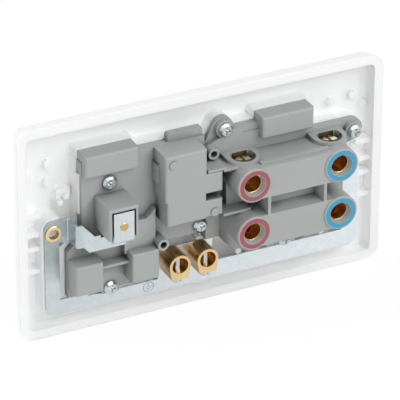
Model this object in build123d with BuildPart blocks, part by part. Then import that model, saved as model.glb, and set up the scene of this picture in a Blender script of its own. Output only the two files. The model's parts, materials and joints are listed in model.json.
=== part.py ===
from build123d import *
import os
from math import atan2, cos, degrees, radians, sin, sqrt

# Cooker control unit: a double plate with a 45 A double-pole rocker switch and a 13 A switched socket.
# X is right as seen from the room, Y goes into the wall and Z is up, all in millimetres.
# The origin lies on the wall plane, midway between the two fixing holes.

# Front plate
PLATE_WIDTH = 147.0
PLATE_HEIGHT = 86.0
PLATE_DEPTH = 9.5
PLATE_CORNER = 5.5
RIM_WIDTH = 3.6
RIM_LAND = 1.2
SIDE_TAPER = 16.0
FACE_ROUND = 2.4
FACE_WALL = 3.2
FIXING_PITCH = 120.6
FIXING_HOLE_R = 2.0
FIXING_HEAD_R = 3.9
SINK_ANGLE = 45.0
PAD_DROP = 1.5
PAD_LIP = 0.8
PAD_WALL = 1.6
SIDE_LIP, SIDE_LIP_RISE = 1.8, 1.1
UPPER_LIP_RISE = 2.6
STRAP_SHOULDER = 2.6
BOSS_R = 2.6
LEDGE_LIP, LEDGE_WALL = 0.9, 1.6
RIB_THICK = 1.2
RIB_DROP = 2.0
MARGIN_RIB_THICK = 2.0
MARGIN_RIB_Z = (6.9, -0.5, -6.5, -15.7)
PIP_R = 1.6
PIP_HEIGHT = 2.0
LEFT_PIPS = ((59.6, 26.0), (59.8, 18.3))
RIGHT_PIPS = ((-54.5, 25.0), (-63.4, 25.9))
EDGE_PIP_INSET, EDGE_PIP_Z = 2.2, 21.7
KEY_PIPS = ((56.1, 10.6), (53.9, 12.5))
KEY_PIP_R = 1.1
KEY_PAD_X, KEY_PAD_Z = (51.6, 57.2), (11.0, 15.2)
KEY_PAD_RISE = 2.8

# Socket pins and apertures
SOCKET_X = 39.0
EARTH_Z = 5.2
PIN_DROP = 22.2
PIN_PITCH = 22.2
PIN_HOLE_LONG = 7.0
PIN_HOLE_SHORT = 4.8
EARTH_HOLE_LONG = 8.6
HOLE_ROUND = 0.6

# Double-pole switch and its terminals
COOKER_X = -29.7
COOKER_Z = 1.0
TERMINAL_PITCH_X = 35.4
TERMINAL_PITCH_Z = 19.8
TERMINAL_FACE_Y = 18.0
TUBE_R = 6.85
TUBE_EDGE = 0.4
MOUTH_R = 4.35
MOUTH_DEPTH = 2.0
THROAT_GAP = 0.15
BARREL_R = 5.2
BARREL_FIT = 0.1
BARREL_FRONT_Y = 3.4
BORE_R = 3.4
CLAMP_Y = 8.2
CLAMP_R = 2.9
CLAMP_FIT = 0.05
CLAMP_LENGTH = 2.7
CLAMP_MARGIN = 0.3
CLAMP_CLEAR = 0.15
CLAMP_SLOT_WIDTH = 1.1
CLAMP_SLOT_DEPTH = 1.2
WELL_HALF = 6.7
WELL_CENTRE_Y = 7.0
WELL_RISE = 7.7
WELL_HOLE_R = 4.5
WELL_FLAT_Y = 4.8

# Rear housings
HOUSING_WALL = 1.6
FLOOR_RISE = 4.0
TOP_Z = 27.2
POCKET_TOP_Z = 30.5
POCKET_LOW_Z = 22.0
POCKET_HALF = 10.5
POCKET_RISE = 7.3
POCKET_WALL = 1.3
POCKET_ROUND = 0.8
POCKET_SHIFT = 1.8
SEAM_X = 0.65
SEAM_GAP = 0.5
SOCKET_LEFT_X = 49.8
BLOCK_LEFT_X = 55.6
BLOCK_CHAMFER_SUM = 47.6
SOCKET_LOW_Z = -27.0
SOCKET_INNER_X = 22.2
SWITCH_LOW_Z = -12.5
LUG_HALF = 3.5
LUG_EDGE = 2.4
FLANGE_X = (1.2, 15.2)
FLANGE_TOP_Z = 30.3
FLANGE_RISE = 2.7
FLANGE_ROUND = 0.9
COOKER_LOW_Z = -16.2
COOKER_RIGHT_X = -54.6
SHOULDER_Z = 19.4
STEP_Z = 24.8
STEP_DROP = 0.6
TOWER_HALF = 5.9
TOWER_Z = (0.3, 12.9)
TOWER_REAR_Y = 15.5
TOWER_WALL = 1.2
PIN_BLOCK_HALF_X = 5.4
PIN_BLOCK_HALF_Z = 6.0
PIN_BLOCK_REAR_Y = 10.0
SHELL_ROUND = 0.8
BRIDGE_REAR_Y = 5.5
PIN_RIB_REAR_Y = 7.0
PIN_RIB_Z = -15.0
PILLAR_HOLE_R = 1.3
PILLAR_R = 2.2
LOWER_PILLAR = (20.6, -10.0)
LOWER_PILLAR_Y = 9.5
UPPER_PILLAR = (-1.0, 20.9)
UPPER_PILLAR_Y = 6.5
VALLEY_Y = 6.5
VALLEY_CEILING_Y = 4.9
VALLEY_FLOOR_Y, VALLEY_DRAFT = 11.0, 8.0
BAR_CEILING_Y = 7.2
BAR_REAR_Y = 17.4
BAR_HALF = 6.3
PLATFORM_SIDE = 6.0
SHELF_REAR_Y = 12.2
SHELF_THICK = 1.1
SHELF_UPPER_Z = 17.2
ROOF_GAP = 0.15
SHELF_LOWER_Z = -1.2
SHELF_LOWER_END_X = -13.2
RIDGE_Y = (13.2, 15.2)
RIDGE_RISE, RIDGE_LAP = 0.8, 3.0
TOP_SHOULDER_X = -11.0
LUG_RISE, LUG_BOSS_R = 2.0, 3.4

# Screws that hold the housings: X and Z of each
SOCKET_SCREWS = ((SOCKET_X, 17.2), (SOCKET_X, -26.4), (2.95, -9.3))
COOKER_SCREWS = ((-7.2, 27.85), (-60.3, 15.0), (-32.0, -23.4))
SCREW_HEAD_R = 2.75
SCREW_HEAD_H = 2.0
SCREW_HEAD_EDGE = 0.8
SCREW_R = 1.4
SCREW_FIT = 0.1
SCREW_REACH = 7.5
CROSS_LONG, CROSS_WIDE, CROSS_DEEP = 3.2, 0.8, 1.0
TOP_LUG_R = 4.2
TOP_LUG_BASE = 15.0
SIDE_LUG_R = 4.6
SIDE_LUG_BASE = 11.0

# Cap over the socket's own switch
COVER_X = (4.6, 21.2)
COVER_Z = (-1.4, 27.2)
COVER_TAB_X = -1.75
COVER_TAB_Z = (-0.9, 16.8)
COVER_NOTCH_Z = (5.9, 8.8)
COVER_NOTCH_X = 4.8
COVER_REAR_Y = 12.5
COVER_WALL = 1.4
COVER_STEP, COVER_STEP_Z = 0.8, 8.4
COVER_PIPS = ((18.1, 23.8), (1.5, 0.9))
COVER_PIP_R, COVER_PIP_H = 1.65, 0.5
LATCH_Z, LATCH_PROUD, LATCH_RISE = (14.5, 22.0), 0.8, 4.6

# Rockers and contacts
SOCKET_SWITCH_X = 12.9
SOCKET_SWITCH_Z = 13.0
PIVOT_Y = -4.2
ROCKER_TILT = 8.0
ROCKER_PROUD = 2.0
ROCKER_WALL = 1.8
ROCKER_FIT = 0.4
ROCKER_REAR = -2.6
COOKER_ROCKER_R, COOKER_ROCKER_HALF = 14.6, 10.0
SOCKET_ROCKER_R, SOCKET_ROCKER_HALF = 11.2, 6.0
ROCKER_ROUND = 0.8
PIVOT_R = 1.8
PIVOT_FIT = 0.05
PIVOT_LENGTH = 3.2
EAR_THICK, EAR_HALF, EAR_GAP = 2.5, 3.2, 0.9
HUB_HALF, HUB_REAR = 2.6, 1.6
PLUNGER_R, PLUNGER_FIT = 1.45, 0.1
PLUNGER_FRONT, PLUNGER_TIP = -1.9, 4.8
PLUNGER_BOTTOM = -5.0
PLUNGER_EDGE = 0.9
POLE_HALF_PITCH = 5.7
CONTACT_CLEAR = 0.3
CONTACT_THICK, CONTACT_WIDTH = 1.4, 4.4
CONTACT_TAIL, CONTACT_END = 4.0, 1.8
COOKER_ARM, SOCKET_ARM = 10.0, 8.0
BUTTON_R, BUTTON_THICK = 1.6, 0.8
BUTTON_GAP = 0.15
TONGUE_THICK, TONGUE_HALF = 1.2, 2.5
STRIP_THICK, STRIP_WIDE, STRIP_INSET = 1.0, 2.0, 2.1
STRIP_Y = -0.6
LINK_GAP, FOOT_GAP = 0.5, 0.25
SADDLE_HALF, SADDLE_GAP = 0.4, 0.15
SADDLE_RISE = 1.1

# Earth strap
STRAP_THICK = 1.0
STRAP_LIFT = 1.3
STRAP_MARGIN = 3.4
STRAP_LOW_Z = -34.1
STRAP_TOP_Z = 5.0
STRAP_LEG_X = (-57.2, 58.1)
STRAP_EDGE_Z = -27.1
STRAP_SOCKET_EDGE_Z = -29.3
STRAP_CORNER_X, STRAP_CORNER_Z = 47.0, -28.1
STRAP_CORNER = 4.0
STRAP_LUG_CORNER = 3.0
EARTH_PAD_X = (-3.2, 19.0)
EARTH_PAD_Z = -17.0
FOLD_X = 53.9
FOLD_R = 1.0
FOLD_RUN = 2.2
FOLD_Z = (-4.2, 4.8)
TONGUE_Y = 7.5
TONGUE_NECK_X = 47.2
TONGUE_HEEL_X = 49.4
EARTH_TONGUE_LOW_Z = -6.7
EARTH_PLATE_HALF = 4.0
EARTH_PLATE_Y = 15.0
EARTH_PLATE_TOP_Z = 11.0
EARTH_RISER_Z = -1.1
EYELET_FLANGE_R, EYELET_FLANGE = 3.2, 0.6
EYELET_WALL = 0.6
EYELET_EDGE = 0.25
EYELET_FIT = 0.05
FIXING_POST_WALL = 0.9
SYMBOL = (22.8, -31.6)
SYMBOL_R, SYMBOL_LINE, SYMBOL_DEPTH = 2.2, 0.35, 0.15
SYMBOL_STEM, SYMBOL_BAR, SYMBOL_PITCH = 1.5, 2.5, 0.65
PEG_R, PEG_Z = 1.2, -25.6
PEG_X = (-14.0, -48.4)
STRAP_RIB_X = (52.0, 27.0, -20.0, -44.0)

# Earth terminals on the strap
EARTH_TERMINAL_X = (13.7, 2.5)
EARTH_BORE_Z = -20.8
EARTH_BODY_R = 4.25
EARTH_FOOT_Z = -26.2
EARTH_FOOT_HALF, EARTH_FOOT_RISE = 3.4, 0.8
EARTH_FACE_Y = 9.0
EARTH_BORE_R = 3.2
EARTH_BORE_DEPTH = 7.5
TENON_R, TENON_FIT = 1.5, 0.05
EARTH_SCREW_Y = 6.3
EARTH_SCREW_R = 1.3
EARTH_SCREW_HEAD_R, EARTH_SCREW_HEAD_H = 1.9, 1.5
EARTH_SCREW_BACKOFF = 0.5
RIVET_R, RIVET_HEAD_R, RIVET_HEAD_H = 0.95, 1.6, 0.35
RIVET_FIT, RIVET_EDGE = 0.05, 0.2

# Socket contacts, shutter and lamps
FORK_HALF = 3.0
FORK_GRIP = 1.95
FORK_THICK = 0.8
FORK_REAR_GAP = 0.2
EARTH_FORK_HALF = 3.4
EARTH_FORK_FRONT_Y = 2.5
SHUTTER_THICK, SHUTTER_GAP = 2.2, 0.3
SHUTTER_HALF = 14.4
SHUTTER_LAP = 0.6
SHUTTER_BAR = 6.0
WEDGE_TOP_Z, WEDGE_RUN = 8.6, 5.0
ARM_INNER, ARM_OUTER = 2.6, 5.2
SPRING_OFFSET, SPRING_TOP_Z = 7.6, -3.0
SPRING_R, SPRING_WIRE, SPRING_GAP = 1.0, 0.25, 0.015
SPRING_PITCH = 2.4
PLUNGER_SPRING_PITCH = 1.0
SPRING_SIDES = 6
SPRING_STOP = 1.6
LENS_Z, LENS_HALF_X, LENS_HALF_Z = 26.0, 3.8, 1.7
LENS_FIT, LENS_FLANGE = 0.1, 0.8
LENS_LIP, LENS_LIP_Z = 1.0, 0.8
LENS_PROUD = 0.3
LAMP_CLEAR, LAMP_LENGTH, LAMP_GAP = 0.75, 11.0, 0.3
LAMP_EDGE = 0.5
RESISTOR_R, RESISTOR_LENGTH = 1.0, 5.0
LAMP_SHIFT, RESISTOR_SHIFT = -2.6, 6.4

# Depths that several pieces share
face_y = -PLATE_DEPTH
recess_y = face_y + FACE_WALL
pad_y = -PAD_DROP
floor_y = pad_y + FLOOR_RISE
ceiling_y = floor_y - HOUSING_WALL
pocket_y = pad_y + POCKET_RISE
strap_front_y = pad_y + STRAP_LIFT
strap_rear_y = strap_front_y + STRAP_THICK
strap_half = FIXING_PITCH / 2 + STRAP_MARGIN
lug_y = pad_y + LUG_RISE
seam_socket_x = SEAM_X + SEAM_GAP / 2
seam_cooker_x = SEAM_X - SEAM_GAP / 2
pin_z = EARTH_Z - PIN_DROP
line_x = SOCKET_X + PIN_PITCH / 2
neutral_x = SOCKET_X - PIN_PITCH / 2
barrel_rear_y = TERMINAL_FACE_Y - MOUTH_DEPTH
bore_front_y = CLAMP_Y - CLAMP_R - CLAMP_MARGIN
throat_r = BORE_R + THROAT_GAP
mouth_taper = degrees(atan2(MOUTH_R - throat_r, MOUTH_DEPTH))
load_z = COOKER_Z + TERMINAL_PITCH_Z / 2
supply_z = COOKER_Z - TERMINAL_PITCH_Z / 2
line_terminal_x = COOKER_X + TERMINAL_PITCH_X / 2
neutral_terminal_x = COOKER_X - TERMINAL_PITCH_X / 2
contact_pivot_y = PIVOT_Y + PLUNGER_TIP + CONTACT_CLEAR + CONTACT_THICK
saddle_y = contact_pivot_y + SADDLE_GAP
saddle_strip_y = contact_pivot_y + SADDLE_RISE
cooker_pocket_x = COOKER_X - POCKET_SHIFT
pocket_z = (POCKET_TOP_Z + POCKET_LOW_Z) / 2
lamp_r = (POCKET_TOP_Z - POCKET_LOW_Z) / 2 - POCKET_WALL - LAMP_CLEAR
tilt = radians(ROCKER_TILT)


def level(depth):
    """Plane at one depth behind the wall plane, X right and Z up, facing the room."""
    return Plane.XZ.offset(-depth)


def about(centre, half):
    """Span of a given half width about a centre."""
    return (centre - half, centre + half)


def block(x_span, z_span, y_span, mode=Mode.ADD, corner=0.0):
    """Add or cut a box given its X, Z and depth spans."""
    wide = max(x_span) - min(x_span)
    tall = max(z_span) - min(z_span)
    with BuildSketch(level(max(y_span))) as face:
        with Locations((sum(x_span) / 2, sum(z_span) / 2)):
            if corner:
                RectangleRounded(wide, tall, corner)
            else:
                Rectangle(wide, tall)
    extrude(face.sketch, amount=max(y_span) - min(y_span), mode=mode)


def post(centre, radius, y_span, mode=Mode.ADD):
    """Add or cut a round post along Y."""
    with BuildSketch(level(max(y_span))) as face:
        with Locations(centre):
            Circle(radius)
    extrude(face.sketch, amount=max(y_span) - min(y_span), mode=mode)


def stud(x, y, radius, z_span, mode=Mode.ADD):
    """Add or cut a round post along Z."""
    with BuildSketch(Plane.XY.offset(min(z_span))) as face:
        with Locations((x, y)):
            Circle(radius)
    extrude(face.sketch, amount=max(z_span) - min(z_span), mode=mode)


def tilted(x, y, z, angle):
    """Plane facing +X at a pivot, its first axis turned from Y by an angle about X."""
    return Plane(origin=(x, y, z), x_dir=(0, cos(angle), sin(angle)), z_dir=(1, 0, 0))


def fixed_face(arm):
    """Depth of a fixed contact's face, just clear of the closed moving contact."""
    reach = BUTTON_THICK * cos(tilt) + (arm + BUTTON_R) * sin(tilt)
    return contact_pivot_y + reach + BUTTON_GAP


def save(piece, name):
    """Label a finished piece and write it."""
    piece.part.label = name
    export_step(piece.part, f"parts/{name}.step")


os.makedirs("parts", exist_ok=True)

# Plan shapes of the housings and the strap, shared with the pads and ledges they sit on
with BuildSketch() as top_lug:
    with Locations(COOKER_SCREWS[0]):
        Circle(TOP_LUG_R)
    with Locations((seam_cooker_x, POCKET_LOW_Z)):
        Rectangle(TOP_LUG_BASE, TOP_LUG_R / 2, align=Align.MAX)
    make_hull()
with BuildSketch() as side_lug:
    with Locations((COOKER_SCREWS[1][0], SHOULDER_Z - SIDE_LUG_R)):
        Circle(SIDE_LUG_R)
    with Locations((COOKER_RIGHT_X, SHOULDER_Z)):
        Rectangle(SIDE_LUG_R, SIDE_LUG_BASE, align=(Align.MIN, Align.MAX))
    make_hull()
with BuildSketch() as socket_plan:
    Polygon(
        (seam_socket_x, TOP_Z),
        (SOCKET_LEFT_X, TOP_Z),
        (SOCKET_LEFT_X, BLOCK_CHAMFER_SUM - SOCKET_LEFT_X),
        (BLOCK_LEFT_X, BLOCK_CHAMFER_SUM - BLOCK_LEFT_X),
        (BLOCK_LEFT_X, SOCKET_LOW_Z),
        (SOCKET_X + LUG_HALF, SOCKET_LOW_Z),
        (SOCKET_X + LUG_HALF, SOCKET_SCREWS[1][1] - LUG_EDGE),
        (SOCKET_X - LUG_HALF, SOCKET_SCREWS[1][1] - LUG_EDGE),
        (SOCKET_X - LUG_HALF, SOCKET_LOW_Z),
        (SOCKET_INNER_X, SOCKET_LOW_Z),
        (SOCKET_INNER_X, SWITCH_LOW_Z),
        (seam_socket_x, SWITCH_LOW_Z),
        align=None,
    )
    with Locations((SOCKET_X, pocket_z)):
        Rectangle(2 * POCKET_HALF, POCKET_TOP_Z - POCKET_LOW_Z)
with BuildSketch() as cooker_plan:
    Polygon(
        (seam_cooker_x, POCKET_LOW_Z),
        (seam_cooker_x, COOKER_LOW_Z),
        (COOKER_SCREWS[2][0] + LUG_HALF, COOKER_LOW_Z),
        (COOKER_SCREWS[2][0] + LUG_HALF, COOKER_SCREWS[2][1] - LUG_EDGE),
        (COOKER_SCREWS[2][0] - LUG_HALF, COOKER_SCREWS[2][1] - LUG_EDGE),
        (COOKER_SCREWS[2][0] - LUG_HALF, COOKER_LOW_Z),
        (COOKER_RIGHT_X, COOKER_LOW_Z),
        (COOKER_RIGHT_X, SHOULDER_Z),
        (cooker_pocket_x - POCKET_HALF, SHOULDER_Z),
        (cooker_pocket_x - POCKET_HALF, TOP_Z),
        (TOP_SHOULDER_X, TOP_Z),
        align=None,
    )
    with Locations((cooker_pocket_x, pocket_z)):
        Rectangle(2 * POCKET_HALF, POCKET_TOP_Z - POCKET_LOW_Z)

with BuildSketch() as strap_plan:
    for x_span, z_span in (
        ((FOLD_X, strap_half), (FOLD_Z[0], STRAP_TOP_Z)),
        ((STRAP_LEG_X[1], strap_half), (STRAP_LOW_Z, FOLD_Z[0])),
        ((STRAP_CORNER_X, strap_half), (STRAP_LOW_Z, STRAP_CORNER_Z)),
        ((EARTH_PAD_X[0], strap_half), (STRAP_LOW_Z, STRAP_SOCKET_EDGE_Z)),
        (EARTH_PAD_X, (STRAP_LOW_Z, EARTH_PAD_Z)),
        ((-strap_half, EARTH_PAD_X[1]), (STRAP_LOW_Z, STRAP_EDGE_Z)),
        ((-strap_half, STRAP_LEG_X[0]), (STRAP_LOW_Z, STRAP_TOP_Z)),
    ):
        with Locations((x_span[0], z_span[0])):
            Rectangle(x_span[1] - x_span[0], z_span[1] - z_span[0], align=Align.MIN)
    fillet(strap_plan.vertices().group_by(Axis.Y)[0], radius=STRAP_CORNER)
    tops = strap_plan.vertices().group_by(Axis.Y)[-1].sort_by(Axis.X)
    fillet([tops[0], tops[1], tops[-1]], radius=STRAP_LUG_CORNER)

# Front plate: tapered shell with pads, bosses, ribs, ears for the rockers and the apertures
with BuildPart() as faceplate:
    with BuildSketch(level(0)):
        RectangleRounded(PLATE_WIDTH, PLATE_HEIGHT, PLATE_CORNER)
    extrude(amount=RIM_LAND)
    with BuildSketch(level(-RIM_LAND)):
        RectangleRounded(PLATE_WIDTH, PLATE_HEIGHT, PLATE_CORNER)
    extrude(amount=PLATE_DEPTH - RIM_LAND, taper=SIDE_TAPER)
    fillet(faceplate.faces().sort_by(Axis.Y)[0].edges(), radius=FACE_ROUND)
    with BuildSketch(level(0)):
        RectangleRounded(
            PLATE_WIDTH - 2 * RIM_WIDTH, PLATE_HEIGHT - 2 * RIM_WIDTH, PLATE_CORNER - RIM_WIDTH
        )
    extrude(amount=PLATE_DEPTH - FACE_WALL, mode=Mode.SUBTRACT)
    for plan in (socket_plan, cooker_plan):
        with BuildSketch(level(pad_y)):
            add(plan.sketch)
            offset(amount=PAD_LIP)
            with BuildSketch(mode=Mode.PRIVATE) as inside:
                add(plan.sketch)
                offset(amount=-PAD_WALL)
            add(inside.sketch, mode=Mode.SUBTRACT)
        extrude(amount=pad_y - recess_y)
        with BuildSketch(level(strap_front_y)) as shoulder:
            add(strap_plan.sketch)
            offset(amount=LEDGE_LIP)
            with BuildSketch(mode=Mode.PRIVATE) as near:
                add(plan.sketch)
                offset(amount=STRAP_SHOULDER)
            add(near.sketch, mode=Mode.INTERSECT)
            for taken in (socket_plan, cooker_plan):
                add(taken.sketch, mode=Mode.SUBTRACT)
        extrude(shoulder.sketch, amount=strap_front_y - recess_y)
    for lug in (top_lug, side_lug):
        with BuildSketch(level(pad_y)) as lug_seat:
            add(lug.sketch)
        extrude(lug_seat.sketch, amount=pad_y - recess_y)
    with BuildSketch(level(pad_y + UPPER_LIP_RISE)) as upper_lip:
        add(socket_plan.sketch)
        offset(amount=PAD_LIP)
        with Locations((SOCKET_LEFT_X, STRAP_TOP_Z + LEDGE_LIP)):
            upper_tall = POCKET_LOW_Z - STRAP_TOP_Z - LEDGE_LIP
            Rectangle(PAD_LIP, upper_tall, align=Align.MIN, mode=Mode.INTERSECT)
        add(socket_plan.sketch, mode=Mode.SUBTRACT)
    extrude(upper_lip.sketch, amount=pad_y + UPPER_LIP_RISE - recess_y)
    with BuildSketch(level(pad_y + SIDE_LIP_RISE)) as side_lip:
        add(socket_plan.sketch)
        offset(amount=SIDE_LIP)
        with Locations((SOCKET_LEFT_X, SOCKET_LOW_Z - PAD_LIP)):
            Rectangle(
                BLOCK_LEFT_X + SIDE_LIP - SOCKET_LEFT_X,
                BLOCK_CHAMFER_SUM - SOCKET_LEFT_X - SOCKET_LOW_Z,
                align=Align.MIN,
                mode=Mode.INTERSECT,
            )
        add(socket_plan.sketch, mode=Mode.SUBTRACT)
    extrude(side_lip.sketch, amount=pad_y + SIDE_LIP_RISE - recess_y)
    with BuildSketch(level(strap_front_y)) as ledge:
        with Locations((0, (STRAP_TOP_Z + STRAP_LOW_Z) / 2)):
            ledge_tall = STRAP_TOP_Z - STRAP_LOW_Z
            RectangleRounded(
                2 * (strap_half + LEDGE_LIP), ledge_tall + 2 * LEDGE_LIP, STRAP_CORNER + LEDGE_LIP
            )
            RectangleRounded(
                2 * (strap_half - LEDGE_WALL),
                ledge_tall - 2 * LEDGE_WALL,
                STRAP_CORNER - LEDGE_WALL,
                mode=Mode.SUBTRACT,
            )
            legs_wide = STRAP_LEG_X[1] - STRAP_LEG_X[0]
            gap_align = (Align.CENTER, Align.MIN)
            Rectangle(legs_wide, ledge_tall + LEDGE_LIP, align=gap_align, mode=Mode.SUBTRACT)
    extrude(ledge.sketch, amount=strap_front_y - recess_y)
    for centre in SOCKET_SCREWS + COOKER_SCREWS:
        post(centre, BOSS_R, (recess_y, pad_y))
    for centre in SOCKET_SCREWS + COOKER_SCREWS:
        post(centre, SCREW_R + SCREW_FIT, (floor_y - SCREW_REACH - SCREW_FIT, pad_y), Mode.SUBTRACT)
    rim_x = PLATE_WIDTH / 2 - RIM_WIDTH
    for side in (-1, 1):
        for z in MARGIN_RIB_Z:
            span = sorted((side * rim_x, side * strap_half))
            block(span, about(z, MARGIN_RIB_THICK / 2), (recess_y, -RIB_DROP))
        edge_pip = (side * (rim_x - EDGE_PIP_INSET), EDGE_PIP_Z)
        post(edge_pip, PIP_R, (recess_y, recess_y + PIP_HEIGHT))
        flange_room = (strap_front_y - EYELET_FLANGE, strap_front_y)
        flange_room_r = EYELET_FLANGE_R + EYELET_FIT
        fixing_post_r = flange_room_r + FIXING_POST_WALL
        post((side * FIXING_PITCH / 2, 0), fixing_post_r, (recess_y, flange_room[0]))
        post((side * FIXING_PITCH / 2, 0), flange_room_r, flange_room, Mode.SUBTRACT)
    for centre in LEFT_PIPS + RIGHT_PIPS:
        post(centre, PIP_R, (recess_y, recess_y + PIP_HEIGHT))
    block(KEY_PAD_X, KEY_PAD_Z, (recess_y, recess_y + KEY_PAD_RISE), corner=PAD_LIP)
    for centre in KEY_PIPS:
        post(centre, KEY_PIP_R, (recess_y, pad_y))
    for x in PEG_X:
        post((x, PEG_Z), PEG_R, (recess_y, strap_rear_y))
    for x in STRAP_RIB_X:
        z_span = (STRAP_LOW_Z + RIB_THICK, STRAP_SOCKET_EDGE_Z - RIB_THICK / 2)
        block(about(x, RIB_THICK / 2), z_span, (recess_y, strap_front_y))
    for x, half, z in (
        (COOKER_X, COOKER_ROCKER_HALF, COOKER_Z),
        (SOCKET_SWITCH_X, SOCKET_ROCKER_HALF, SOCKET_SWITCH_Z),
    ):
        for side in (-1, 1):
            near = x + side * (half + EAR_GAP)
            span = sorted((near, near + side * EAR_THICK))
            block(span, about(z, EAR_HALF), (recess_y, PIVOT_Y + PIVOT_R + PIVOT_FIT + RIB_THICK / 2))
    for x, half, z, radius in (
        (COOKER_X, COOKER_ROCKER_HALF, COOKER_Z, COOKER_ROCKER_R),
        (SOCKET_SWITCH_X, SOCKET_ROCKER_HALF, SOCKET_SWITCH_Z, SOCKET_ROCKER_R),
    ):
        with BuildSketch(tilted(x, PIVOT_Y, z, 0)) as sweep_room:
            Circle(radius + ROCKER_FIT)
        extrude(sweep_room.sketch, amount=half + ROCKER_FIT, both=True, mode=Mode.SUBTRACT)
        with BuildSketch(tilted(x, PIVOT_Y, z, 0)) as pivot_hole:
            Circle(PIVOT_R + PIVOT_FIT)
        extrude(
            pivot_hole.sketch, amount=half + EAR_GAP + EAR_THICK, both=True, mode=Mode.SUBTRACT
        )
    for side in (-1, 1):
        x = SOCKET_X + side * SPRING_OFFSET
        span = (recess_y, recess_y + SHUTTER_GAP + SHUTTER_THICK)
        block(about(x, 2 * SPRING_R), (SPRING_TOP_Z, SPRING_TOP_Z + SPRING_STOP), span)
    for x in (line_x, neutral_x):
        long_half, short_half = PIN_HOLE_LONG / 2, PIN_HOLE_SHORT / 2
        hole_y = (face_y, recess_y)
        block(about(x, long_half), about(pin_z, short_half), hole_y, Mode.SUBTRACT, HOLE_ROUND)
    block(
        about(SOCKET_X, PIN_HOLE_SHORT / 2),
        about(EARTH_Z, EARTH_HOLE_LONG / 2),
        (face_y, recess_y),
        Mode.SUBTRACT,
        HOLE_ROUND,
    )
    for x in (SOCKET_X, cooker_pocket_x):
        window = (about(x, LENS_HALF_X + LENS_FIT), about(LENS_Z, LENS_HALF_Z + LENS_FIT))
        block(*window, (face_y, recess_y), Mode.SUBTRACT)
    for side in (-1, 1):
        post((side * FIXING_PITCH / 2, 0), FIXING_HOLE_R, (face_y, strap_front_y), Mode.SUBTRACT)
        with BuildSketch(level(face_y)) as sink:
            with Locations((side * FIXING_PITCH / 2, 0)):
                Circle(FIXING_HEAD_R)
        extrude(
            sink.sketch, amount=-(FIXING_HEAD_R - FIXING_HOLE_R), taper=SINK_ANGLE, mode=Mode.SUBTRACT
        )
save(faceplate, "faceplate")


def shell_of(plan):
    """Tray of one housing, open towards the plate."""
    with BuildSketch(level(floor_y)) as outer:
        add(plan.sketch)
    extrude(outer.sketch, amount=FLOOR_RISE)


def hollow_of(plan):
    """Cut the tray's hollow, one wall in from its plan."""
    with BuildSketch(level(ceiling_y)) as inner:
        add(plan.sketch)
        offset(amount=-HOUSING_WALL)
    extrude(inner.sketch, amount=ceiling_y - pad_y, mode=Mode.SUBTRACT)


def lamp_pocket(x):
    """Raised pocket over an indicator lamp."""
    z_span = (POCKET_LOW_Z, POCKET_TOP_Z)
    block(about(x, POCKET_HALF), z_span, (pad_y, pocket_y))


def lamp_room(x):
    """Cut the room inside a lamp pocket."""
    z_span = (POCKET_LOW_Z + POCKET_WALL, POCKET_TOP_Z - POCKET_WALL)
    block(about(x, POCKET_HALF - POCKET_WALL), z_span, (pad_y, pocket_y - POCKET_WALL), Mode.SUBTRACT)


def screw_holes(centres):
    """Cut the clearance holes of the housing screws."""
    for centre in centres:
        post(centre, SCREW_R + SCREW_FIT, (pad_y, floor_y), Mode.SUBTRACT)


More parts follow.
